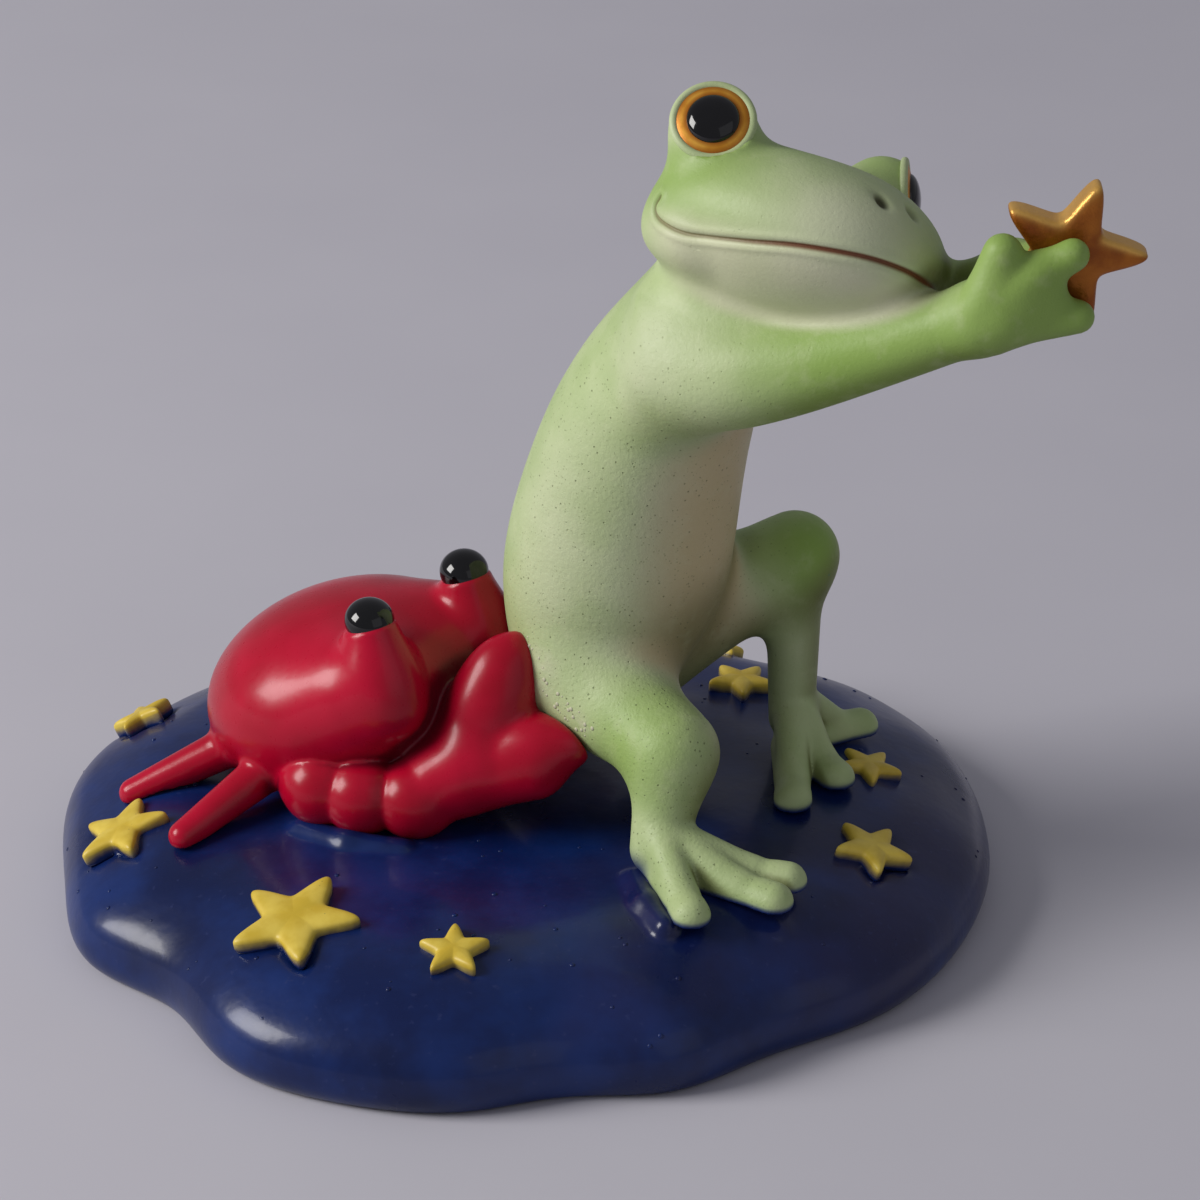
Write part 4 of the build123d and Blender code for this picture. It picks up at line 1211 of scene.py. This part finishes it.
for node in BASE_STARS:
    centre, upright, point, reach, low, high = star_seat(node)
    sizes = {"Thickness": high - low, "Squareness": 0.42, "Ridge": 0.1, "Finish": STAR_YELLOW}
    sizes = sizes | star_sizes(reach * YELLOW_REACH, *YELLOW_ROUNDING)
    star = made_by(SOFT_STAR, node.replace("base_star", "yellow_star"), sizes)
    set_star(star, centre, upright, point, (low + high) / 2)
    finished(star, STAR_YELLOW, "star_yellow", node)

centre, upright, point, reach, low, high = star_seat("held_star")
upright = np.array((0.0, -1.0, 0.0))
sizes = {"Thickness": high - low, "Squareness": 0.36, "Ridge": 0.0, "Finish": STAR_GOLD}
gold_star = made_by(SOFT_STAR, "gold_star", sizes | star_sizes(reach * GOLD_REACH, *GOLD_ROUNDING))
low, high = (np.array(corner)[1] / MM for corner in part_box("held_star"))
set_star(gold_star, centre * np.array((1, 0, 1)), upright, point, -(low + high) / 2)
# Painted highlight: faces turned up get the lighter gold
upward = np.array([vertex.normal.z for vertex in gold_star.data.vertices])
mark(gold_star.data, "lit", ease(0.0, 0.75, upward))
finished(gold_star, STAR_GOLD, "star_gold", "held_star")

# Lips of lacquer beside the crab's claw and the frog's right foot
LACQUER_LIPS = (
    ((-18.3, -6.2, 9.7), (-14.4, -8.4, 9.8), (-10.0, -9.5, 9.7)),
    ((9.0, -14.6, 9.9), (9.9, -18.5, 9.9), (11.4, -21.8, 9.8)),
)
LACQUER_LIP_RADIUS, LACQUER_LIP_CREASE = 0.95, 0.9
# Stars' seats closed by sunken stars, and pin holes closed up to a height
STAR_SINK, SEAT_CREASE = 0.35, 0.9
BASE_PIN_TOP = 10.0
# Heights from which the top is smoothed, and over which that sets in
TOP_LOW, TOP_EASE = 7.0, (7.2, 9.4)
# Brush ripples: their height, the room kept for them, and how far the top is raised again
RIPPLE, RIPPLE_ROOM, TOP_SWELL = 0.08, 0.16, 0.3


def cloud_base():
    """The blue base: its lobes, pads and lips, closed up under the stars."""
    low, high = room_of(("cloud_base",))
    clay = Clay(low - CLAY_ROOM, high + BASE_HEADROOM, BASE_STEP)
    x, y, z = clay.places()
    base = melt(clay.casting("cloud_base"), clay.casting(*BASE_STARS) + STAR_SINK, SEAT_CREASE)
    cores = clay.casting("foot_pins", "crab_mount_pins") - PIN_COVER
    base = np.minimum(base, np.maximum(cores, z - BASE_PIN_TOP))
    base = softened(base, (1, 1))
    top = clay.window((-np.inf, -np.inf, TOP_LOW), (np.inf, np.inf, np.inf))[0]
    eased = softened(base[top], (1, 2, 3, 4, 6, 8, 10), (0, 1))
    base[top] += (eased - base[top]) * ease(*TOP_EASE, z[:, :, top[2]])
    ripple = np.sin(x * 0.33 + 1.3 * np.sin(y * 0.21)) + np.sin(y * 0.41 + 1.1 * np.sin(x * 0.27 + 2))
    base = base + (RIPPLE * ripple + RIPPLE_ROOM - TOP_SWELL * ease(6.0, 9.6, z)) * ease(1.0, 4.0, z)
    for line in LACQUER_LIPS:
        for start, end in zip(line, line[1:]):
            clay.add_rod(base, start, end, LACQUER_LIP_RADIUS, LACQUER_LIP_RADIUS, LACQUER_LIP_CREASE)
    piece = clay.skinned("night_blue_base", base.astype(np.float32), BASE_TRIANGLES)
    move_points(piece.data, np.maximum(points_of(piece.data), (-np.inf, -np.inf, 0.0)))
    finished(piece, BASE_BLUE, "base_blue", "cloud_base")
    return piece


DROP_INPUTS = {
    "Ground": "Geometry", "Density": "Float", "Smallest": "Float", "Largest": "Float", "Flatness": "Float",
    "Lowest": "Float", "Seed": "Int", "Finish": "Material",
}


def drop_tree():
    """A node tree that sets small flat drops on a mesh."""
    tree, ask = new_tree("lacquer_drops", DROP_INPUTS, "Drops")
    wire = Wire(tree)
    height = wire.node("ShaderNodeSeparateXYZ", {0: wire.node("GeometryNodeInputPosition")}, "Z")
    raised = height.math("GREATER_THAN", height, ask["Lowest"])
    places = wire.node("GeometryNodeDistributePointsOnFaces", {
        "Mesh": ask["Ground"], "Selection": raised, "Density": ask["Density"], "Seed": ask["Seed"],
    })
    turns = Wire(tree, places.socket.node.outputs["Rotation"])
    drop = wire.node("GeometryNodeMeshIcoSphere", {"Radius": 1.0, "Subdivisions": 2})
    size = {2: ask["Smallest"], 3: ask["Largest"], "Seed": ask["Seed"]}
    size = wire.node("FunctionNodeRandomValue", size, 1, data_type="FLOAT")
    shape = wire.node("ShaderNodeCombineXYZ", {0: size, 1: size, 2: size * ask["Flatness"]})
    drops = {"Points": places, "Instance": drop, "Rotation": turns, "Scale": shape}
    drops = wire.node("GeometryNodeInstanceOnPoints", drops)
    return ended(tree, drops, ask["Finish"])


DROPS = drop_tree()
blue = cloud_base()
# Drops: how many to the square metre, radii and lowest place in metres
sizes = {
    "Density": 26000.0, "Smallest": 0.0001, "Largest": 0.00024, "Flatness": 0.5, "Lowest": 0.004, "Seed": 7,
    "Finish": BASE_BLUE,
}
lacquer = made_by(DROPS, "blue_lacquer_drops", sizes, blue.data.copy())
finished(lacquer, BASE_BLUE, "base_blue")

# Crumbs of glue on the frog's skin, beside the crab's pincer: their line, and how far from it they lie
GLUE_LINE = flowing(((0.4, -3.6, 25.4), (1.6, -4.2, 23.6), (3.0, -6.4, 21.6), (4.8, -8.0, 20.6)), 4)
GLUE_REACH = 1.2


def glue_patch():
    """The bit of the frog's skin where the glue was wiped."""
    patch = bmesh.new()
    patch.from_mesh(skin.data)
    far = [face for face in patch.faces if not near_any(face.calc_center_median(), GLUE_LINE, GLUE_REACH)]
    bmesh.ops.delete(patch, geom=far, context="FACES")
    mesh = bpy.data.meshes.new("glue_patch")
    patch.to_mesh(mesh)
    patch.free()
    return mesh


sizes = {
    "Density": 1400000.0, "Smallest": 0.00007, "Largest": 0.0002, "Flatness": 0.5, "Lowest": 0.0, "Seed": 3,
    "Finish": GLUE_WHITE,
}
crumbs = made_by(DROPS, "glue_crumbs", sizes, glue_patch())
finished(crumbs, GLUE_WHITE, "frog_skin")

for name in NODES:
    if name.endswith(("_pin", "_pins")):
        NODES[name].data.materials.clear()
        NODES[name].data.materials.append(PIN_STEEL)

# The studio, in metres
FLOOR_REACH = 3
LAMP_AIM = Vector((0.005, 0.0, 0.03))
SKY_STRENGTH = 0.37
CAMERA_PLACE = (0.0062, -0.3406, 0.2014)
CAMERA_DOWN = math.radians(27)
CAMERA_LENS, CAMERA_SENSOR, CAMERA_NEAR = 140.2, 36.0, 0.01

floor = piece_from("floor", bpy.data.meshes.new("floor"))
corners = [(x * FLOOR_REACH, y * FLOOR_REACH, 0) for x, y in ((-1, -1), (1, -1), (1, 1), (-1, 1))]
floor.data.from_pydata(corners, [], [(0, 1, 2, 3)])
floor.data.materials.append(FLOOR)


def lamp(name, place, size, watts, colour):
    """A soft square lamp that looks at the figurine."""
    light = bpy.data.lights.new(name, "AREA")
    light.size = size
    light.energy = watts
    light.color = colour
    holder = bpy.data.objects.new(name, light)
    holder.location = place
    holder.rotation_euler = (LAMP_AIM - Vector(place)).to_track_quat("-Z", "Y").to_euler()
    bpy.context.scene.collection.objects.link(holder)


lamp("window_light", (-0.64, -0.12, 0.40), 0.36, 5.1, (1.0, 0.98, 0.96))
lamp("room_light", (0.45, -0.55, 0.35), 0.6, 0.25, (0.96, 0.97, 1.0))

world = bpy.data.worlds.new("studio")
world.use_nodes = True
sky = world.node_tree.nodes["Background"]
sky.inputs["Color"].default_value = STUDIO_GREY
sky.inputs["Strength"].default_value = SKY_STRENGTH
bpy.context.scene.world = world

camera = bpy.data.objects.new("camera", bpy.data.cameras.new("camera"))
camera.data.lens = CAMERA_LENS
camera.data.sensor_width = CAMERA_SENSOR
camera.data.clip_start = CAMERA_NEAR
camera.location = CAMERA_PLACE
camera.rotation_euler = (math.pi / 2 - CAMERA_DOWN, 0, 0)
bpy.context.scene.collection.objects.link(camera)
bpy.context.scene.camera = camera
bpy.context.scene.view_settings.view_transform = "Standard"

bpy.context.view_layer.update()
